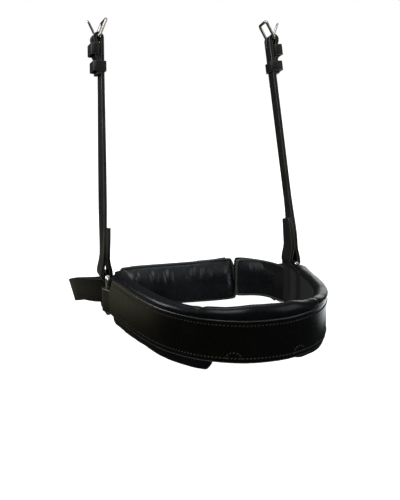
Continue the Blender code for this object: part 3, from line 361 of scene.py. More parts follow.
for side in SIDES:
    dress_leather(side + "_cheek_strap", side + "_cheek_leather", STRAP_SHAVE)
    dress_keepers(side)
dress_leather("chin_strap", "chin_strap_leather", STRAP_SHAVE)
dress_leather("chin_buckle_chape", "chin_chape_leather", STRAP_SHAVE)
dress_keepers("chin")
print("straps and keepers dressed")

# %% [markdown]
# The rings, buckle frames and tongues are bent wire. The CAD wire is already round in section, so a
# merged copy with one level of subdivision is enough to take its facets away. Subdivision draws a
# closed shape slightly inwards, which a wire this thin doesn't show.

# %% Wires and the roller
ROLLER_SHAVE = 0.25 * MM


def subdivided(piece):
    finer = piece.modifiers.new("finer", "SUBSURF")
    finer.levels = 1
    finer.render_levels = 1
    return baked(piece)


WIRES = ["chin_buckle_frame", "chin_buckle_tongue"]
for side in SIDES:
    WIRES += [side + "_ring", side + "_buckle_frame", side + "_buckle_tongue"]
for node in WIRES:
    wire = smoothed(subdivided(merged_copy(node, node + "_steel")), math.radians(70))
    settle(set_look(wire, STEEL), "polished_steel", node)
roller = set_look(merged_copy("chin_buckle_roller", "chin_roller_steel"), STEEL)
settle(smoothed(shaved(roller, ROLLER_SHAVE)), "polished_steel", "chin_buckle_roller")
print("wires dressed:", len(WIRES))

# %% [markdown]
# The nosepiece follows one line in plan: the bow over the nose. Everything on it is laid out along
# that line and inwards from it, like a pattern cutter's template, so the line comes first. It is a
# smooth curve through a few shares of the half width and the depth.

# %% The line of the nosepiece
NOSE_HALF_WIDTH = 77.5 * MM
NOSE_DEPTH = 149.5 * MM
NOSE_SHARES = (
    (0.0, 1.0), (0.258, 0.977), (0.542, 0.883), (0.755, 0.723),
    (0.877, 0.515), (0.937, 0.355), (1.0, 0.161),
)
PANEL_TOP = 14.0 * MM
RIGHT_END_FALL = 2.5 * MM
FALL_START, FALL_RUN = 0.75, 0.15


def smooth(share):
    share = min(1.0, max(0.0, share))
    return share * share * (3.0 - 2.0 * share)


def spline(points, steps=16):
    knots = [Vector(p) for p in points]
    knots = [2 * knots[0] - knots[1], *knots, 2 * knots[-1] - knots[-2]]
    line = []
    for before, start, end, after in zip(knots, knots[1:], knots[2:], knots[3:]):
        for i in range(steps):
            t = i / steps
            line.append(0.5 * (2 * start + (end - before) * t
                               + (2 * before - 5 * start + 4 * end - after) * t * t
                               + (3 * start - before - 3 * end + after) * t ** 3))
    return [*line, knots[-2]]


def resampled(points, count):
    lengths = [0.0]
    for a, b in zip(points, points[1:]):
        lengths.append(lengths[-1] + (b - a).length)
    even, k = [], 0
    for i in range(count):
        wanted = lengths[-1] * i / (count - 1)
        while k < len(points) - 2 and lengths[k + 1] < wanted:
            k += 1
        even.append(points[k].lerp(points[k + 1], (wanted - lengths[k]) / (lengths[k + 1] - lengths[k])))
    return even


def nose_stations(count, overhang=0.0):
    """Places along the nosepiece: (share along it, point, inward direction)."""
    half = [(x * NOSE_HALF_WIDTH, -y * NOSE_DEPTH) for x, y in NOSE_SHARES]
    line = spline([(-x, y) for x, y in reversed(half[1:])] + half)
    if overhang:
        line = [line[0] + (line[0] - line[1]).normalized() * overhang, *line,
                line[-1] + (line[-1] - line[-2]).normalized() * overhang]
    line = resampled(line, count)
    stations = []
    for i, point in enumerate(line):
        ahead = line[min(i + 1, count - 1)] - line[max(i - 1, 0)]
        stations.append((i / (count - 1), point, Vector((-ahead.y, ahead.x)).normalized()))
    return stations


def fall(share):
    """How far the nosepiece sinks towards its right end."""
    return RIGHT_END_FALL * smooth((share - FALL_START) / FALL_RUN)


def on_nose(station, inwards, height):
    _, point, inward = station
    spot = point + inward * inwards
    return Vector((spot.x, spot.y, height))


measured = [point for _, point, _ in nose_stations(200)]
nose_length = sum((b - a).length for a, b in zip(measured, measured[1:]))
print("nosepiece length: %.0f mm" % (nose_length / MM))

# %% [markdown]
# The panel is one strip of firm bridle leather. Its cut edges are shaved round and catch a thin
# line of light all along. The merged CAD strip with a wider bevel than the straps' gives the round
# edge, and the bevel's faces take the lighter edge paint, a painted highlight that adds to that
# line. The stitches are laid on it afterwards.

# %% The panel
PANEL_SHAVE = 0.8 * MM
panel = set_look(merged_copy("nosepiece_panel", "nose_panel_leather"), BRIDLE_LEATHER, EDGE_PAINT_AND_HIGHLIGHT)
settle(smoothed(shaved(panel, PANEL_SHAVE, 4)), "black_leather", "nosepiece_panel")
print("panel faces:", len(panel.data.polygons))

# %% [markdown]
# The lining is thin leather turned over a foam core: a roll above the panel, a flat suede face
# towards the nose, and a lip below. Its section changes along the bow, because the roll is full
# over the nose and low at the ends. A loft through many sections follows that. A cloth simulation
# needs an even mesh, and evening it out would wear away the thin lip and the seams of the roll.

# %% The lining's section
LINING_DEPTH = 9.0 * MM
LINING_LEAST_DEPTH = 5.6 * MM
LINING_OVERHANG = 10.6 * MM
FLANGE = 2.9 * MM
END_SHARE = 0.022
END_LEAST = 0.3
ROLL_ROOT = 0.8 * MM
ROLL_FULLNESS = 0.85
ROLL_OUTWARDS = 0.7 * MM
ROLL_RISE = 9.0 * MM
ROLL_SHARES = (
    (0.0, 0.36), (0.06, 0.5), (0.12, 0.68), (0.2, 0.63), (0.34, 0.6), (0.41, 0.8), (0.48, 1.0),
    (0.55, 0.97), (0.61, 0.68), (0.68, 0.44), (0.75, 0.36), (1.0, 0.36),
)
LIP_DROP = 8.5 * MM
LIP_SHARES = (
    (0.0, 1.0), (0.07, 0.9), (0.2, 0.72), (0.27, 0.80), (0.38, 0.84), (0.402, 0.05),
    (0.50, 0.05), (0.60, 0.35), (0.68, 0.6), (1.0, 0.65),
)
LIP_ROOT = 2.0 * MM
LIP_ROOT_FALL = 2.3 * MM
LIP_INSET = 0.8 * MM
LIP_SEEN_FROM = 1.5 * MM
SECTION_SEAM_SHARES = (0.372, 0.632)
SEAM_SHARE_WIDTH = 0.006
SEAM_DEPTH = 0.7 * MM
FACE_HOLLOW = 0.5 * MM
BACK_SLACK = 0.3 * MM
STEEPEST_SLANT = 0.3
RING_LIMIT = 71.0 * MM
RING_REACH = 31.0 * MM
RING_EASING = 7.0 * MM
TAB_LEAF_END = 43.0 * MM
TAB_LEAF_EASING = 9.0 * MM
LINING_STATIONS = 241
ROLL_STEPS = 16
FACE_STEPS = 9
LIP_STEPS = 12


def looked_up(table, share):
    """The value at a share in a table of (share, value), eased between its entries."""
    for (a, one), (b, other) in zip(table, table[1:]):
        if share < b:
            return one + (other - one) * smooth((share - a) / (b - a))
    return table[-1][1]


def lining_section(station):
    """The closed section as (inwards, height, part), from under the roll round to its start.

    near is 1 beside a ring, where the lining keeps inside the ring's bar. leaf is 1 where the
    panel's turned-back tab lies behind it and the lining starts a layer further in.
    """
    share, point, inward = station
    near = smooth((point.y + RING_REACH) / RING_EASING)
    clear = max(0.0, abs(point.x) - RING_LIMIT) / max(abs(inward.x), STEEPEST_SLANT)
    leaf = smooth((point.y + TAB_LEAF_END + TAB_LEAF_EASING) / TAB_LEAF_EASING)
    flange = max(FLANGE * (1.0 + leaf), clear * near)
    start = -ROLL_OUTWARDS + (clear + ROLL_OUTWARDS) * near
    inner = flange + max(LINING_DEPTH - flange, LINING_LEAST_DEPTH)
    end = min(share, 1.0 - share)
    size = math.sqrt(smooth(END_LEAST + (1.0 - END_LEAST) * end / END_SHARE))
    seam = sum(math.exp(-((share - s) / SEAM_SHARE_WIDTH) ** 2) for s in SECTION_SEAM_SHARES)
    rise = (ROLL_RISE * looked_up(ROLL_SHARES, share) - SEAM_DEPTH * seam) * size
    drop = LIP_DROP * looked_up(LIP_SHARES, share) * size
    low = smooth((drop - LIP_SEEN_FROM) / LIP_SEEN_FROM)
    lip_start = flange + (max(LIP_INSET, clear * near) - flange) * low
    lip_root = -PANEL_TOP + LIP_ROOT - LIP_ROOT_FALL * low
    points = []
    for i in range(ROLL_STEPS + 1):
        angle = math.pi * (1.0 - i / ROLL_STEPS)
        height = PANEL_TOP + ROLL_ROOT + (rise - ROLL_ROOT) * math.sin(angle) ** ROLL_FULLNESS
        points.append(((start + inner) / 2 + (inner - start) / 2 * math.cos(angle), height, "roll"))
    for i in range(1, FACE_STEPS):
        down = i / FACE_STEPS
        height = PANEL_TOP + (lip_root - PANEL_TOP) * down
        points.append((inner - FACE_HOLLOW * math.sin(math.pi * down), height, "face"))
    for i in range(LIP_STEPS + 1):
        angle = -math.pi * i / LIP_STEPS
        points.append(((lip_start + inner) / 2 + (inner - lip_start) / 2 * math.cos(angle),
                       lip_root + drop * math.sin(angle), "lip"))
    points += [(flange, lip_root + BACK_SLACK / 2, "back"), (flange, 0.0, "back"),
               (flange, PANEL_TOP + BACK_SLACK, "back")]
    return points


print("one section has", len(lining_section(nose_stations(3)[1])), "points")

# %% [markdown]
# Stretched leather is never quite even, so the roll and the lip get low swells from noise that is
# laid out along the nosepiece, and the suede face gets fainter ones. Then every section is placed
# on its station and the loft joins each to the next. The ends are closed, and the normals are
# recalculated once the solid is whole.

# %% Puckers and loft
PUCKER_LENGTH = 9.0 * MM
FACE_PUCKER_HEIGHT = 7.0 * MM
PUCKER_STEP = 0.18
ROLL_SWELL = 0.22 * MM
FACE_SWELL = 0.04 * MM


def puckered(share, k, inwards, height, part):
    """The section's k-th point with the small uneven swells of stretched leather."""
    along = share * nose_length / PUCKER_LENGTH
    if part == "face":
        place = Vector((along, height / FACE_PUCKER_HEIGHT, 1.7))
        return inwards + noise.noise(place) * FACE_SWELL, height
    if part == "back":
        return inwards, height
    swell = noise.noise(Vector((along, k * PUCKER_STEP, 3.1))) * ROLL_SWELL
    return inwards, height + (swell if part == "roll" else -swell)


def loft(name, rings, slots):
    """A closed solid through closed rings of points. Each strip along it has a material slot."""
    mesh = bmesh.new()
    table = [[mesh.verts.new(p) for p in ring] for ring in rings]
    count = len(table[0])
    for one, other in zip(table, table[1:]):
        for i in range(count):
            j = (i + 1) % count
            face = mesh.faces.new((one[i], one[j], other[j], other[i]))
            face.material_index = slots[i]
    mesh.faces.new(table[0])
    mesh.faces.new(table[-1][::-1])
    bmesh.ops.recalc_face_normals(mesh, faces=mesh.faces)
    return finished(mesh, name)


print("sections along the lining:", LINING_STATIONS)

# %% The lining
rings = []
for station in nose_stations(LINING_STATIONS, LINING_OVERHANG):
    section = lining_section(station)
    ring = []
    for k, (inwards, height, part) in enumerate(section):
        inwards, height = puckered(station[0], k, inwards, height, part)
        ring.append(on_nose(station, inwards, height - fall(station[0])))
    rings.append(ring)
parts = [part for _, _, part in section]
slots = [int("face" in pair) for pair in zip(parts, parts[1:] + parts[:1])]
lining = smoothed(loft("nose_lining_leather", rings, slots), math.radians(60))
set_look(lining, SOFT_LEATHER, SUEDE)
settle(lining, "soft_leather", "nosepiece_lining", "nosepiece_foam")
print("lining: %d sections of %d points" % (len(rings), len(section)))

# %% [markdown]
# Stitches are the clearest sign of handwork, and there are hundreds, so Geometry Nodes lay them: a
# line is cut at a steady pitch, and one small capsule is set at each cut, turned a little across
# the line as a saddler's slanted awl turns it. The line carries the direction of the leather under
# it in an attribute, so that each stitch lies flat on its face.

# %% Stitch tree
STITCH_PITCH = 2.4 * MM
STITCH_THICKNESS = 0.75 * MM
STITCH_SLANT = math.radians(26)
STITCH_FILL = 0.8


def stitch_tree():
    tree, inside, out = new_group(
        "saddle_stitch", "GeometryNodeTree",
        (("Line", "Geometry"), ("Pitch", "Float"), ("Length", "Float"), ("Thickness", "Float"),
         ("Slant", "Float"), ("Thread", "Material")),
        (("Stitches", "Geometry"),))
    add = tree.nodes.new
    curve = add("GeometryNodeMeshToCurve")
    cut = add("GeometryNodeResampleCurve")
    cut.mode = "LENGTH"
    upright = add("GeometryNodeInputNamedAttribute")
    upright.data_type = "FLOAT_VECTOR"
    upright.inputs["Name"].default_value = "surface"
    tangent = add("GeometryNodeInputTangent")
    turn = add("FunctionNodeAxesToRotation")
    turn.primary_axis, turn.secondary_axis = "Z", "X"
    bead = add("GeometryNodeMeshUVSphere")
    bead.inputs["Segments"].default_value = 7
    bead.inputs["Rings"].default_value = 5
    bead.inputs["Radius"].default_value = 0.5
    size, slant = add("ShaderNodeCombineXYZ"), add("ShaderNodeCombineXYZ")
    shaped = add("GeometryNodeTransform")
    soft = add("GeometryNodeSetShadeSmooth")
    rows = add("GeometryNodeInstanceOnPoints")
    real = add("GeometryNodeRealizeInstances")
    coloured = add("GeometryNodeSetMaterial")
    for giver, given, taker, taken in (
            (inside, "Line", curve, "Mesh"), (curve, "Curve", cut, "Curve"),
            (inside, "Pitch", cut, "Length"), (upright, "Attribute", turn, "Primary Axis"),
            (tangent, "Tangent", turn, "Secondary Axis"), (inside, "Length", size, "X"),
            (inside, "Thickness", size, "Y"), (inside, "Thickness", size, "Z"),
            (inside, "Slant", slant, "Z"), (bead, "Mesh", shaped, "Geometry"),
            (size, "Vector", shaped, "Scale"), (slant, "Vector", shaped, "Rotation"),
            (shaped, "Geometry", soft, "Geometry"), (cut, "Curve", rows, "Points"),
            (soft, "Geometry", rows, "Instance"), (turn, "Rotation", rows, "Rotation"),
            (rows, "Instances", real, "Geometry"), (real, "Geometry", coloured, "Geometry"),
            (inside, "Thread", coloured, "Material"), (coloured, "Geometry", out, "Stitches")):
        tree.links.new(giver.outputs[given], taker.inputs[taken])
    return tree


STITCH_TREE = stitch_tree()
SOCKETS = {item.name: item.identifier for item in STITCH_TREE.interface.items_tree}


def stitched(name, lines, body,
             pitch=STITCH_PITCH, thickness=STITCH_THICKNESS):
    """Stitches along lines of (point, direction of the leather's face), as one piece."""
    points, edges, uprights = [], [], []
    for line in lines:
        first = len(points)
        points += [p for p, _ in line]
        uprights += [n for _, n in line]
        edges += [(first + i, first + i + 1) for i in range(len(line) - 1)]
    data = bpy.data.meshes.new(name)
    data.from_pydata(points, edges, [])
    attribute = data.attributes.new("surface", "FLOAT_VECTOR", "POINT")
    attribute.data.foreach_set("vector", [c for n in uprights for c in n])
    piece = linked(name, data)
    maker = piece.modifiers.new("stitches", "NODES")
    maker.node_group = STITCH_TREE
    for label, value in (("Pitch", pitch), ("Length", pitch * STITCH_FILL), ("Thickness", thickness),
                         ("Slant", STITCH_SLANT), ("Thread", THREAD)):
        maker[SOCKETS[label]] = value
    baked(piece)
    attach(piece, body)
    print("%s: %d faces" % (name, len(piece.data.polygons)))
    return piece


# %% [markdown]
# On the panel one row runs close under the top edge and one close above the lower edge, and two
# small half circles on the lower row mark where the front section of the lining begins and ends.
# The rows follow the nosepiece's own line, as the lining does.

# %% Stitches on the nosepiece
ROW_HEIGHT = PANEL_TOP - 3.4 * MM
ROW_END = 0.035
ROW_STATIONS = nose_stations(400)
ARC_RADIUS = 5.0 * MM
ARC_FLATNESS = 0.75
ARC_STEPS = 24
ARC_SHARES = (0.434, 0.574)
THREAD_PROUD = 0.1 * MM


def on_panel(station, height):
    """A thread's place on the panel's front, and the direction that the leather faces there."""
    outwards = Vector((-station[2].x, -station[2].y, 0.0))
    return on_nose(station, -THREAD_PROUD, height - fall(station[0])), outwards


def panel_row(height):
    """Threads along the panel at one height, kept off its two ends."""
    return [on_panel(station, height) for station in ROW_STATIONS
            if ROW_END <= station[0] <= 1.0 - ROW_END]


def panel_arc(share):
    """A flattened half circle of stitches that stands on the lower row."""
    line = []
    for i in range(ARC_STEPS + 1):
        angle = math.pi * i / ARC_STEPS
        at = share + ARC_RADIUS * math.cos(angle) / nose_length
        station = ROW_STATIONS[round(at * (len(ROW_STATIONS) - 1))]
        line.append(on_panel(station, -ROW_HEIGHT + ARC_RADIUS * ARC_FLATNESS * math.sin(angle)))
    return line


stitched("panel_stitches", [panel_row(ROW_HEIGHT), panel_row(-ROW_HEIGHT)]
         + [panel_arc(share) for share in ARC_SHARES], "nosepiece")

# %% [markdown]
# The straps are stitched beside both edges. The rows are read off the CAD straps themselves: every
# sharp edge of a strap's broad face, moved a little inwards on that face. That follows each taper
# and bend without a second description of the strap. Stretches near a ring or a buckle are left
# bare, because metal bears on the leather there.

# %% Stitches on the straps
STRAP_ROW_INSET = 1.7 * MM
STRAP_PITCH = 2.1 * MM
STRAP_THREAD = 0.5 * MM
STRAP_THREAD_SINK = 0.1 * MM
CORNER_ANGLE = math.radians(60)
SQUARE_ON = 0.6
CHEEK_SEWN = (26.0 * MM, 150.0 * MM)
CHIN_SEWN_HALF = 60.0 * MM
CHIN_LOOP_START = -86.0 * MM


def edge_rows(node, kept):
    """Rows of (point, face direction) beside the edges of a strap's broad faces, where kept allows."""
    mesh = merged_mesh(node)
    next_to = {}
    for edge in mesh.edges:
        if len(edge.link_faces) != 2 or edge.calc_face_angle(0.0) < CORNER_ANGLE:
            continue
        wide = max(edge.link_faces, key=lambda f: f.calc_area())
        if not all(kept(v.co, wide.normal) for v in edge.verts):
            continue
        along = (edge.verts[1].co - edge.verts[0].co).normalized()
        inwards = wide.normal.cross(along)
        if inwards.dot(wide.calc_center_median() - edge.verts[0].co) < 0:
            inwards.negate()
        for one, other in (edge.verts, tuple(edge.verts)[::-1]):
            next_to.setdefault(one.index, []).append((other.index, inwards, wide.normal.copy()))
    places = {v.index: v.co.copy() for v in mesh.verts}
    mesh.free()
    rows = []
    while next_to:
        at = min(next_to, key=lambda i: (len(next_to[i]), i))
        row = []
        while at in next_to:
            links = next_to.pop(at)
            inwards = sum((i for _, i, _ in links), Vector()).normalized()
            facing = sum((n for _, _, n in links), Vector()).normalized()
            row.append((places[at] + inwards * STRAP_ROW_INSET - facing * STRAP_THREAD_SINK, facing))
            following = [other for other, _, _ in links if other in next_to]
            at = following[0] if following else None
        if len(row) > 1:
            rows.append(row)
    return rows


def on_cheek(point, facing):
    return CHEEK_SEWN[0] < point.z < CHEEK_SEWN[1] and abs(facing.x) > SQUARE_ON


def on_chin(point, facing):
    return (facing.y > SQUARE_ON and abs(point.x) < CHIN_SEWN_HALF) or point.x < CHIN_LOOP_START


def stitched_strap(node, name, kept):
    stitched(name, edge_rows(node, kept), BODY_OF[node], pitch=STRAP_PITCH, thickness=STRAP_THREAD)


for side in SIDES:
    stitched_strap(side + "_cheek_strap", side + "_cheek_stitches", on_cheek)
stitched_strap("chin_strap", "chin_strap_stitches", on_chin)

# %% [markdown]
# The wings on the chin strap are stuffed pads with a piped rim. The left one is a long cushion, the
# right one a shorter, flatter wing. A cushion's shape comes from its stuffing, so each starts as a
# low pillow between the corners of its CAD cover and is blown up afterwards.

# %% The outlines of the pads
PAD_FLANGE = 1.2 * MM
PAD_SHOULDER = 11.0 * MM
PAD_CORNER_SHARE = 0.06
LEFT_CORNER_SHARES = ((0.0, 0.01), (1.05, -0.03), (0.0, 0.97), (1.0, 1.04))
RIGHT_CORNER_SHARES = ((0.0, 0.19), (1.2, -0.1), (0.0, 1.0), (1.2, 0.75))


def between(a, b, share):
    return a + (b - a) * share


def sine_share(share):
    """A share from 0 to 1 that leaves 0 steeply and meets 1 level."""
    return math.sin(share * math.pi / 2)


class Pad:
    """A pad's outline in its own frame: u runs across and v runs up, each from -1 to 1.

    corner_shares are foot left, foot right, top left and top right, in shares of the CAD cover's
    box. A pad that runs on stays full at its right end, which the nosepiece hides.
    """

    def __init__(self, side, corner_shares, easing, crown, runs_on):
        self.side = side
        self.low, self.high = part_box(side + "_chin_pad_cover")
        self.corners = [(between(self.low[0], self.high[0], x), between(self.low[2], self.high[2], z))
                        for x, z in corner_shares]
        self.half_length = (self.corners[1][0] - self.corners[0][0]) / 2
        self.half_height = (self.corners[2][1] - self.corners[0][1]) / 2
        self.easing = easing
        self.crown = crown
        self.runs_on = runs_on
        self.seat = self.high[1]

    def shares(self, point):
        """How far across and how far up the cover's box a point stands."""
        return ((point.x - self.low[0]) / (self.high[0] - self.low[0]),
                (point.z - self.low[2]) / (self.high[2] - self.low[2]))

    def spot(self, u, v):
        u, v = u * (1.0 - PAD_CORNER_SHARE * v ** 6), v * (1.0 - PAD_CORNER_SHARE * u ** 6)
        across, up = (1.0 + u) / 2, (1.0 + v) / 2
        foot_left, foot_right, top_left, top_right = self.corners
        foot_x = between(foot_left[0], foot_right[0], across)
        top_x = between(top_left[0], top_right[0], across)
        foot_z = between(foot_left[1], foot_right[1], across ** self.easing[0])
        top_z = between(top_left[1], top_right[1], across ** self.easing[1])
        return between(foot_x, top_x, up), between(foot_z, top_z, up)

    def height(self, u, v):
        from_end = 1.0 + u if self.runs_on else 1.0 - abs(u)
        swell = 1.0
        for distance in (from_end * self.half_length, (1.0 - abs(v)) * self.half_height):
            share = min(1.0, max(0.0, (distance - PAD_FLANGE) / PAD_SHOULDER))
            swell *= sine_share(share) ** 0.8 if share > 0 else 0.0
        return self.crown * swell


left_pad = Pad("left", LEFT_CORNER_SHARES, (1, 4), 8.0 * MM, False)
right_pad = Pad("right", RIGHT_CORNER_SHARES, (3, 2), 4.2 * MM, True)
print("pads are %.0f mm and %.0f mm tall at their left ends"
      % (2 * left_pad.half_height / MM, 2 * right_pad.half_height / MM))

# %% Pillows
PILLOW_COLUMNS = 72
PILLOW_ROWS = 30
PILLOW_RIM = 1.5 * MM


def pillow(pad):
    """The pad's cover before it is blown up: a crowned front and a flat back, closed at the rim."""
    mesh = bmesh.new()

    def layer(y_of):
        table = []
        for i in range(PILLOW_COLUMNS + 1):
            u = sine_share(2 * i / PILLOW_COLUMNS - 1)
            row = []
            for k in range(PILLOW_ROWS + 1):
                v = sine_share(2 * k / PILLOW_ROWS - 1)
                x, z = pad.spot(u, v)
                row.append(mesh.verts.new((x, y_of(u, v), z)))
            table.append(row)
        return table

    def joined(one, other):
        for i in range(len(one) - 1):
            mesh.faces.new((one[i], one[i + 1], other[i + 1], other[i]))

    front = layer(lambda u, v: pad.seat - PILLOW_RIM - pad.height(u, v))
    back = layer(lambda u, v: pad.seat)
    for table in (front, back):
        for one, other in zip(table, table[1:]):
            joined(one, other)
    for end in (0, -1):
        joined(front[end], back[end])
    for end in (0, -1):
        joined([row[end] for row in front], [row[end] for row in back])
    bmesh.ops.recalc_face_normals(mesh, faces=mesh.faces)
    return finished(mesh, pad.side + "_pad_leather")


print("a pillow has %d by %d cells on each side" % (PILLOW_COLUMNS, PILLOW_ROWS))

# %% [markdown]
# The stuffing pushes the cover outwards until the leather holds it. Pressure in a cloth simulation
# does the same on an even mesh: the front is free, the flange and the back are held, and a few
# steps are enough. The largest move is capped, so that no pad grows past its neighbours. The pad is
# simulated at ten times its size, where Blender's cloth settings are at home.

# %% Stuffing
PAD_SCALE = 10.0
PAD_VOXEL = 0.85 * MM
PAD_HELD = 2.2 * MM
PAD_SWELL_CAP = 1.6 * MM
PAD_PRESSURE = 4.0
CLOTH_QUALITY = 6
CLOTH_MASS = 0.3
CLOTH_STEPS = 20


def blown_up(piece, pad):
    """Voxel remesh, then Cloth with pressure on the front while the flange and back are held."""
    for vertex in piece.data.vertices:
        vertex.co *= PAD_SCALE
    remesh = piece.modifiers.new("even mesh", "REMESH")
    remesh.mode = "VOXEL"
    remesh.voxel_size = PAD_VOXEL * PAD_SCALE
    baked(piece)
    start = [v.co.copy() for v in piece.data.vertices]
    held = piece.vertex_groups.new(name="held")
    limit = (pad.seat - PAD_HELD) * PAD_SCALE
    held.add([v.index for v in piece.data.vertices if v.co.y > limit], 1.0, "REPLACE")
    cloth = piece.modifiers.new("stuffing", "CLOTH")
    cloth.settings.effector_weights.gravity = 0.0
    cloth.settings.use_pressure = True
    cloth.settings.uniform_pressure_force = PAD_PRESSURE
    cloth.settings.vertex_group_mass = "held"
    cloth.settings.quality = CLOTH_QUALITY
    cloth.settings.mass = CLOTH_MASS
    scene = bpy.context.scene
    for step in range(1, CLOTH_STEPS + 1):
        scene.frame_set(step)
    baked(piece)
    scene.frame_set(1)
    moved = 0.0
    for vertex, before in zip(piece.data.vertices, start):
        shift = vertex.co - before
        moved = max(moved, shift.length)
        if shift.length > PAD_SWELL_CAP * PAD_SCALE:
            vertex.co = before + shift.normalized() * PAD_SWELL_CAP * PAD_SCALE
    for vertex in piece.data.vertices:
        vertex.co /= PAD_SCALE
    print("%s pad blown up, largest move %.2f mm" % (pad.side, moved / PAD_SCALE / MM))
    return piece


print("one pad takes", CLOTH_STEPS, "steps of cloth")

# %% [markdown]
# Worn padding shows where it bends: soft upright folds with bright crests. They come after the
# simulation, as small moves of the front's points, each fold a narrow bell across the pad that
# fades towards the rim.

# %% Folds
LEFT_FOLDS = (
    (0.14, 0.010, 0.9), (0.27, 0.014, 0.8), (0.40, 0.016, 1.0), (0.47, 0.010, 0.6),
    (0.62, 0.018, 0.9), (0.70, 0.010, 0.7), (0.80, 0.022, 0.8),
)
RIGHT_FOLDS = ((0.2, 0.03, 0.4),)
FOLD_DEPTH = 0.6 * MM
FOLD_SWAY = 0.012
RIPPLE_SHARE = 0.45
WRINKLE_SHARE = 0.16
FRONT_FROM = 0.05
FOLD_START, FOLD_RUN = 0.25, 0.45


def folded(piece, pad, folds):
    """Presses folds into the front. Each is (place across, width, depth), in shares."""
    for vertex in piece.data.vertices:
        off = (pad.seat - PILLOW_RIM - vertex.co.y) / pad.crown
        if off < FRONT_FROM:
            continue
        across, up = pad.shares(vertex.co)
        sway = FOLD_SWAY * math.sin(up * 5.0 + across * 9.0)
        dent = sum(deep * math.exp(-((across + sway - at) / wide) ** 2) for at, wide, deep in folds)
        dent += RIPPLE_SHARE * noise.noise(Vector((across * 24.0, up * 2.5, 4.2)))
        dent += WRINKLE_SHARE * noise.noise(Vector((across * 60.0, up * 5.0, 9.1)))
        vertex.co.y += FOLD_DEPTH * dent * smooth((off - FOLD_START) / FOLD_RUN)


print("folds on the left pad:", len(LEFT_FOLDS))

# %% [markdown]
# A piping of painted leather runs round each pad just inside its outline, and a row of small
# stitches just inside the piping. The piping takes the lighter edge paint, partly a painted
# highlight. Both follow the outline that the pillow has, so a tube along it and the same stitch
# tree are enough.

# %% Piping and the finished pads
PIPING = 1.0 * MM
PIPING_LIFT = 2.0 * MM
PAD_ROW_INSET = 3.0 * MM
PAD_ROW_LIFT = 1.6 * MM
PAD_PITCH = 2.2 * MM
PAD_THREAD = 0.4 * MM
RIM_COUNT = 60
EVENER_STEPS = 6
EVENER_SHARE = 0.4


def tube(name, points, radius):
    """A closed round tube along the points."""
    curve = bpy.data.curves.new(name, "CURVE")
    curve.dimensions = "3D"
    curve.bevel_depth = radius
    curve.bevel_resolution = 4
    line = curve.splines.new("POLY")
    line.points.add(len(points) - 1)
    for knot, point in zip(line.points, points):
        knot.co = (*point, 1.0)
    line.use_cyclic_u = True
    drawn = linked(name, curve)
    data = evaluated_mesh(drawn)
    bpy.data.objects.remove(drawn)
    data.shade_smooth()
    return linked(name, data)


def rim_points(pad, inset, y):
    """Points round the pad, a little inside its outline."""
    shrink_u = 1.0 - inset / pad.half_length
    shrink_v = 1.0 - inset / pad.half_height
    ramp = [2 * i / RIM_COUNT - 1 for i in range(RIM_COUNT + 1)]
    around = [(t, -1.0) for t in ramp] + [(1.0, t) for t in ramp[1:]]
    around += [(-t, 1.0) for t in ramp[1:]] + [(-1.0, -t) for t in ramp[1:-1]]
    return [Vector((*pad.spot(u * shrink_u, v * shrink_v), y)).xzy for u, v in around]


def make_pad(pad, folds):
    cover = pillow(pad)
    blown_up(cover, pad)
    evener = cover.modifiers.new("evener", "LAPLACIANSMOOTH")
    evener.iterations = EVENER_STEPS
    evener.lambda_factor = EVENER_SHARE
    baked(cover)
    folded(cover, pad, folds)
    smoothed(subdivided(cover), math.radians(70))
    set_look(cover, LIGHTENED_PAD_LEATHER, WING_SUEDE)
    settle(cover, "soft_leather", pad.side + "_chin_pad_cover", pad.side + "_chin_pad_foam")
    piping = tube(pad.side + "_pad_piping", rim_points(pad, PIPING, pad.seat - PIPING_LIFT), PIPING)
    # The piping's lighter edge paint is partly a painted highlight.
    set_look(piping, EDGE_PAINT_AND_HIGHLIGHT)
    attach(piping, "chin")
    facing = Vector((0.0, -1.0, 0.0))
    line = [(p, facing) for p in rim_points(pad, PAD_ROW_INSET, pad.seat - PAD_ROW_LIFT)]
    stitched(pad.side + "_pad_stitches", [[*line, line[0]]], "chin",
             pitch=PAD_PITCH, thickness=PAD_THREAD)
    return cover


left_cover = make_pad(left_pad, LEFT_FOLDS)
right_cover = make_pad(right_pad, RIGHT_FOLDS)
print("pads made:", len(left_cover.data.polygons) + len(right_cover.data.polygons), "faces")

# %% [markdown]
# The right wing is covered in two leathers: glossy towards the middle of the chin, suede towards
# the ring, joined on a curved seam. The seam is a table from the top down to how far across it
# runs, and each face of the cover takes the leather of its own side of it.

# %% The seam of the right wing
WING_SEAM_SHARES = ((0.0, 0.5), (0.2, 0.64), (0.38, 0.88), (1.0, 0.94))
for face in right_cover.data.polygons:
    across, up = right_pad.shares(face.center)
    face.material_index = int(across > looked_up(WING_SEAM_SHARES, 1.0 - up))
print("suede faces:", sum(f.material_index for f in right_cover.data.polygons))

# %% [markdown]
# The pads are sewn to a firm leather backing, which only shows from behind. Its CAD plate has the
# right outline, so it keeps its mesh and takes the suede finish.

# %% Backings
for side in SIDES:
    set_look(frame["nodes"][side + "_chin_pad_backing"], SUEDE)
print("backings finished")

# %% [markdown]
# The camera stands where the photograph's did: in front, a little to the left and above, looking
# slightly down. The photograph stands upright, so the lens is measured on the picture's height.

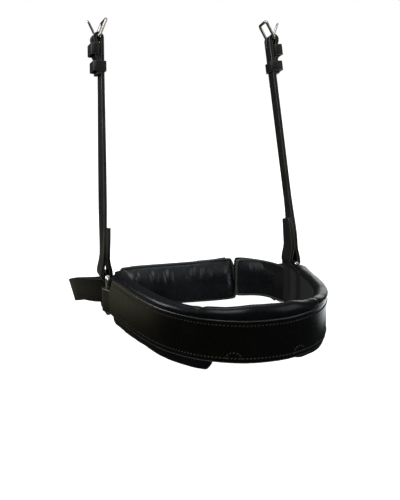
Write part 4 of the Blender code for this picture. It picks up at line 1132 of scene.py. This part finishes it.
# %% Camera
PHOTO_AZIMUTH = math.radians(16.09)
PHOTO_PITCH = math.radians(13.0)
CAMERA_PLACE = (-170.7 * MM, -589.3 * MM, 166.5 * MM)
LENS = 57.6
PICTURE_HEIGHT = 36.0
camera_data = bpy.data.cameras.new("camera")
camera_data.lens = LENS
camera_data.sensor_fit = "VERTICAL"
camera_data.sensor_height = PICTURE_HEIGHT
camera = linked("camera", camera_data)
camera.location = CAMERA_PLACE
camera.rotation_euler = (math.pi / 2 - PHOTO_PITCH, 0.0, -PHOTO_AZIMUTH)
bpy.context.scene.camera = camera
print("camera at %.0f mm" % (camera.location.length / MM))

# %% [markdown]
# The lamps are large and soft, as in a product studio. The key stands high in front at the left,
# the fill opposite, and a cool one hangs above. Black leather is seen mostly by what it mirrors, so
# two small panels stand behind, to draw edges on the right end and on the outside of the left end.

# %% Lamps
LAMP_TARGET = (0.0, -0.06, 0.04)


def soft_lamp(name, place, size, power, colour=(1.0, 1.0, 1.0)):
    data = bpy.data.lights.new(name, "AREA")
    data.shape = "RECTANGLE"
    data.size, data.size_y = size
    data.energy = power
    data.color = colour
    lamp = linked(name, data)
    lamp.location = place
    lamp.rotation_euler = (Vector(LAMP_TARGET) - Vector(place)).to_track_quat("-Z", "Y").to_euler()
    lamp.visible_camera = False


soft_lamp("key", (-0.55, -0.75, 1.05), (0.7, 0.7), 6.0)
soft_lamp("fill", (0.9, -0.7, 0.55), (0.9, 0.7), 2.5)
soft_lamp("top", (0.1, 0.35, 1.2), (0.8, 0.5), 3.0, (0.76, 0.88, 1.0))
soft_lamp("back_panel", (0.62, 0.75, 0.12), (0.35, 0.7), 1.0)
soft_lamp("left_glow", (-0.9, 0.35, 0.45), (0.5, 0.3), 3.6, (0.92, 0.96, 1.0))
print("lamps placed")

# %% [markdown]
# The floor is pale and carries the shadow, and the camera sees it and the air around it as white.
# What leather and steel mirror is set apart from that: a dim floor, a sky that brightens upwards,
# and two patches of floor that glow for reflections alone, though no lamp stands there: a faint warm
# one behind the left end and a bright pale one behind the right. These glowing patches are painted
# light: they draw the olive light on the left end and the pale upright glint on the right. With a
# white surround to mirror, black leather would turn grey.

# %% Floor
FLOOR_TONE = (0.82, 0.82, 0.82, 1.0)
FLOOR_SEEN = 0.85
FLOOR_MIRRORED = 0.04
# Painted light: the strengths and tones of the two floor patches that glow for reflections alone.
LEFT_PAINTED_GLOW = 0.24
RIGHT_PAINTED_GLOW = 3.2
LEFT_PAINTED_GLOW_TONE = (1.0, 0.94, 0.64)
RIGHT_PAINTED_GLOW_TONE = (0.90, 0.97, 1.0)


def band(tree, value, rise, drop):
    """1 between a rise and a drop, each given as (level of 0, level of 1)."""
    return maths(tree, "MULTIPLY", mapped(tree, value, *rise), mapped(tree, value, *drop))


def axes(tree, kind):
    """The X, Y and Z of the texture coordinate of one kind."""
    node = tree.nodes.new("ShaderNodeSeparateXYZ")
    tree.links.new(tree.nodes.new("ShaderNodeTexCoord").outputs[kind], node.inputs["Vector"])
    return node.outputs


def chosen(tree, switch, plain, other):
    """The plain shader, or the other one for the rays that the switch names."""
    node = tree.nodes.new("ShaderNodeMixShader")
    for socket, link in zip(node.inputs, (switch, plain, other)):
        tree.links.new(link, socket)
    return node.outputs["Shader"]


def floor_material():
    made, tree, shader = new_material("pale_floor")
    shader.inputs["Base Color"].default_value = FLOOR_TONE
    shader.inputs["Roughness"].default_value = 0.9
    shader.inputs["Specular IOR Level"].default_value = 0.0
    matt = shader.outputs["BSDF"]
    glow = tree.nodes.new("ShaderNodeEmission")
    glow.inputs["Strength"].default_value = FLOOR_SEEN
    white = tree.nodes.new("ShaderNodeAddShader")
    tree.links.new(matt, white.inputs[0])
    tree.links.new(glow.outputs["Emission"], white.inputs[1])
    x, y, _ = axes(tree, "Object")
    # Painted light: two patches of floor, behind the left end and behind the right end, that glow for
    # glossy rays.
    left = maths(tree, "MULTIPLY", band(tree, x, (-0.08, -0.14), (-0.45, -0.25)),
                 band(tree, y, (-0.06, 0.02), (0.35, 0.2)))
    right = maths(tree, "MULTIPLY", band(tree, x, (0.095, 0.12), (0.4, 0.25)),
                  band(tree, y, (-0.1, 0.0), (0.35, 0.2)))
    patches = maths(tree, "ADD", maths(tree, "MULTIPLY", left, LEFT_PAINTED_GLOW),
                    maths(tree, "MULTIPLY", right, RIGHT_PAINTED_GLOW))
    faint = tree.nodes.new("ShaderNodeEmission")
    side = mapped(tree, x, -0.03, 0.03)
    tree.links.new(mixed(tree, side, LEFT_PAINTED_GLOW_TONE, RIGHT_PAINTED_GLOW_TONE), faint.inputs["Color"])
    tree.links.new(maths(tree, "ADD", patches, FLOOR_MIRRORED), faint.inputs["Strength"])
    path = tree.nodes.new("ShaderNodeLightPath").outputs
    unseen = chosen(tree, path["Is Glossy Ray"], matt, faint.outputs["Emission"])
    surface = chosen(tree, path["Is Camera Ray"], unseen, white.outputs["Shader"])
    tree.links.new(surface, tree.nodes["Material Output"].inputs["Surface"])
    return made


bpy.ops.mesh.primitive_plane_add(size=12.0, location=(0.0, 0.0, CAD_BOX[0][2] - 0.5 * MM))
floor = bpy.context.object
floor.name = "floor"
floor.data.materials.append(floor_material())
print("floor at %.1f mm" % (floor.location.z / MM))

# %% Surround
SKY_LOW = 0.05
SKY_RISE = 0.32
AIR_LIGHT = 0.45
world = bpy.data.worlds.new("surround")
bpy.context.scene.world = world
world.use_nodes = True
air = world.node_tree
background = air.nodes["Background"]
path = air.nodes.new("ShaderNodeLightPath").outputs
rising = mapped(air, axes(air, "Generated")["Z"], 0.35, 0.95)
sky = maths(air, "ADD", maths(air, "MULTIPLY", rising, SKY_RISE), SKY_LOW)
mirrored = maths(air, "MULTIPLY", path["Is Glossy Ray"], sky)
lit = maths(air, "MULTIPLY", path["Is Diffuse Ray"], AIR_LIGHT)
strength = maths(air, "ADD", maths(air, "ADD", path["Is Camera Ray"], mirrored), lit)
air.links.new(strength, background.inputs["Strength"])
background.inputs["Color"].default_value = (1.0, 1.0, 1.0, 1.0)
bpy.context.scene.view_settings.view_transform = "Standard"
print("surround ready")
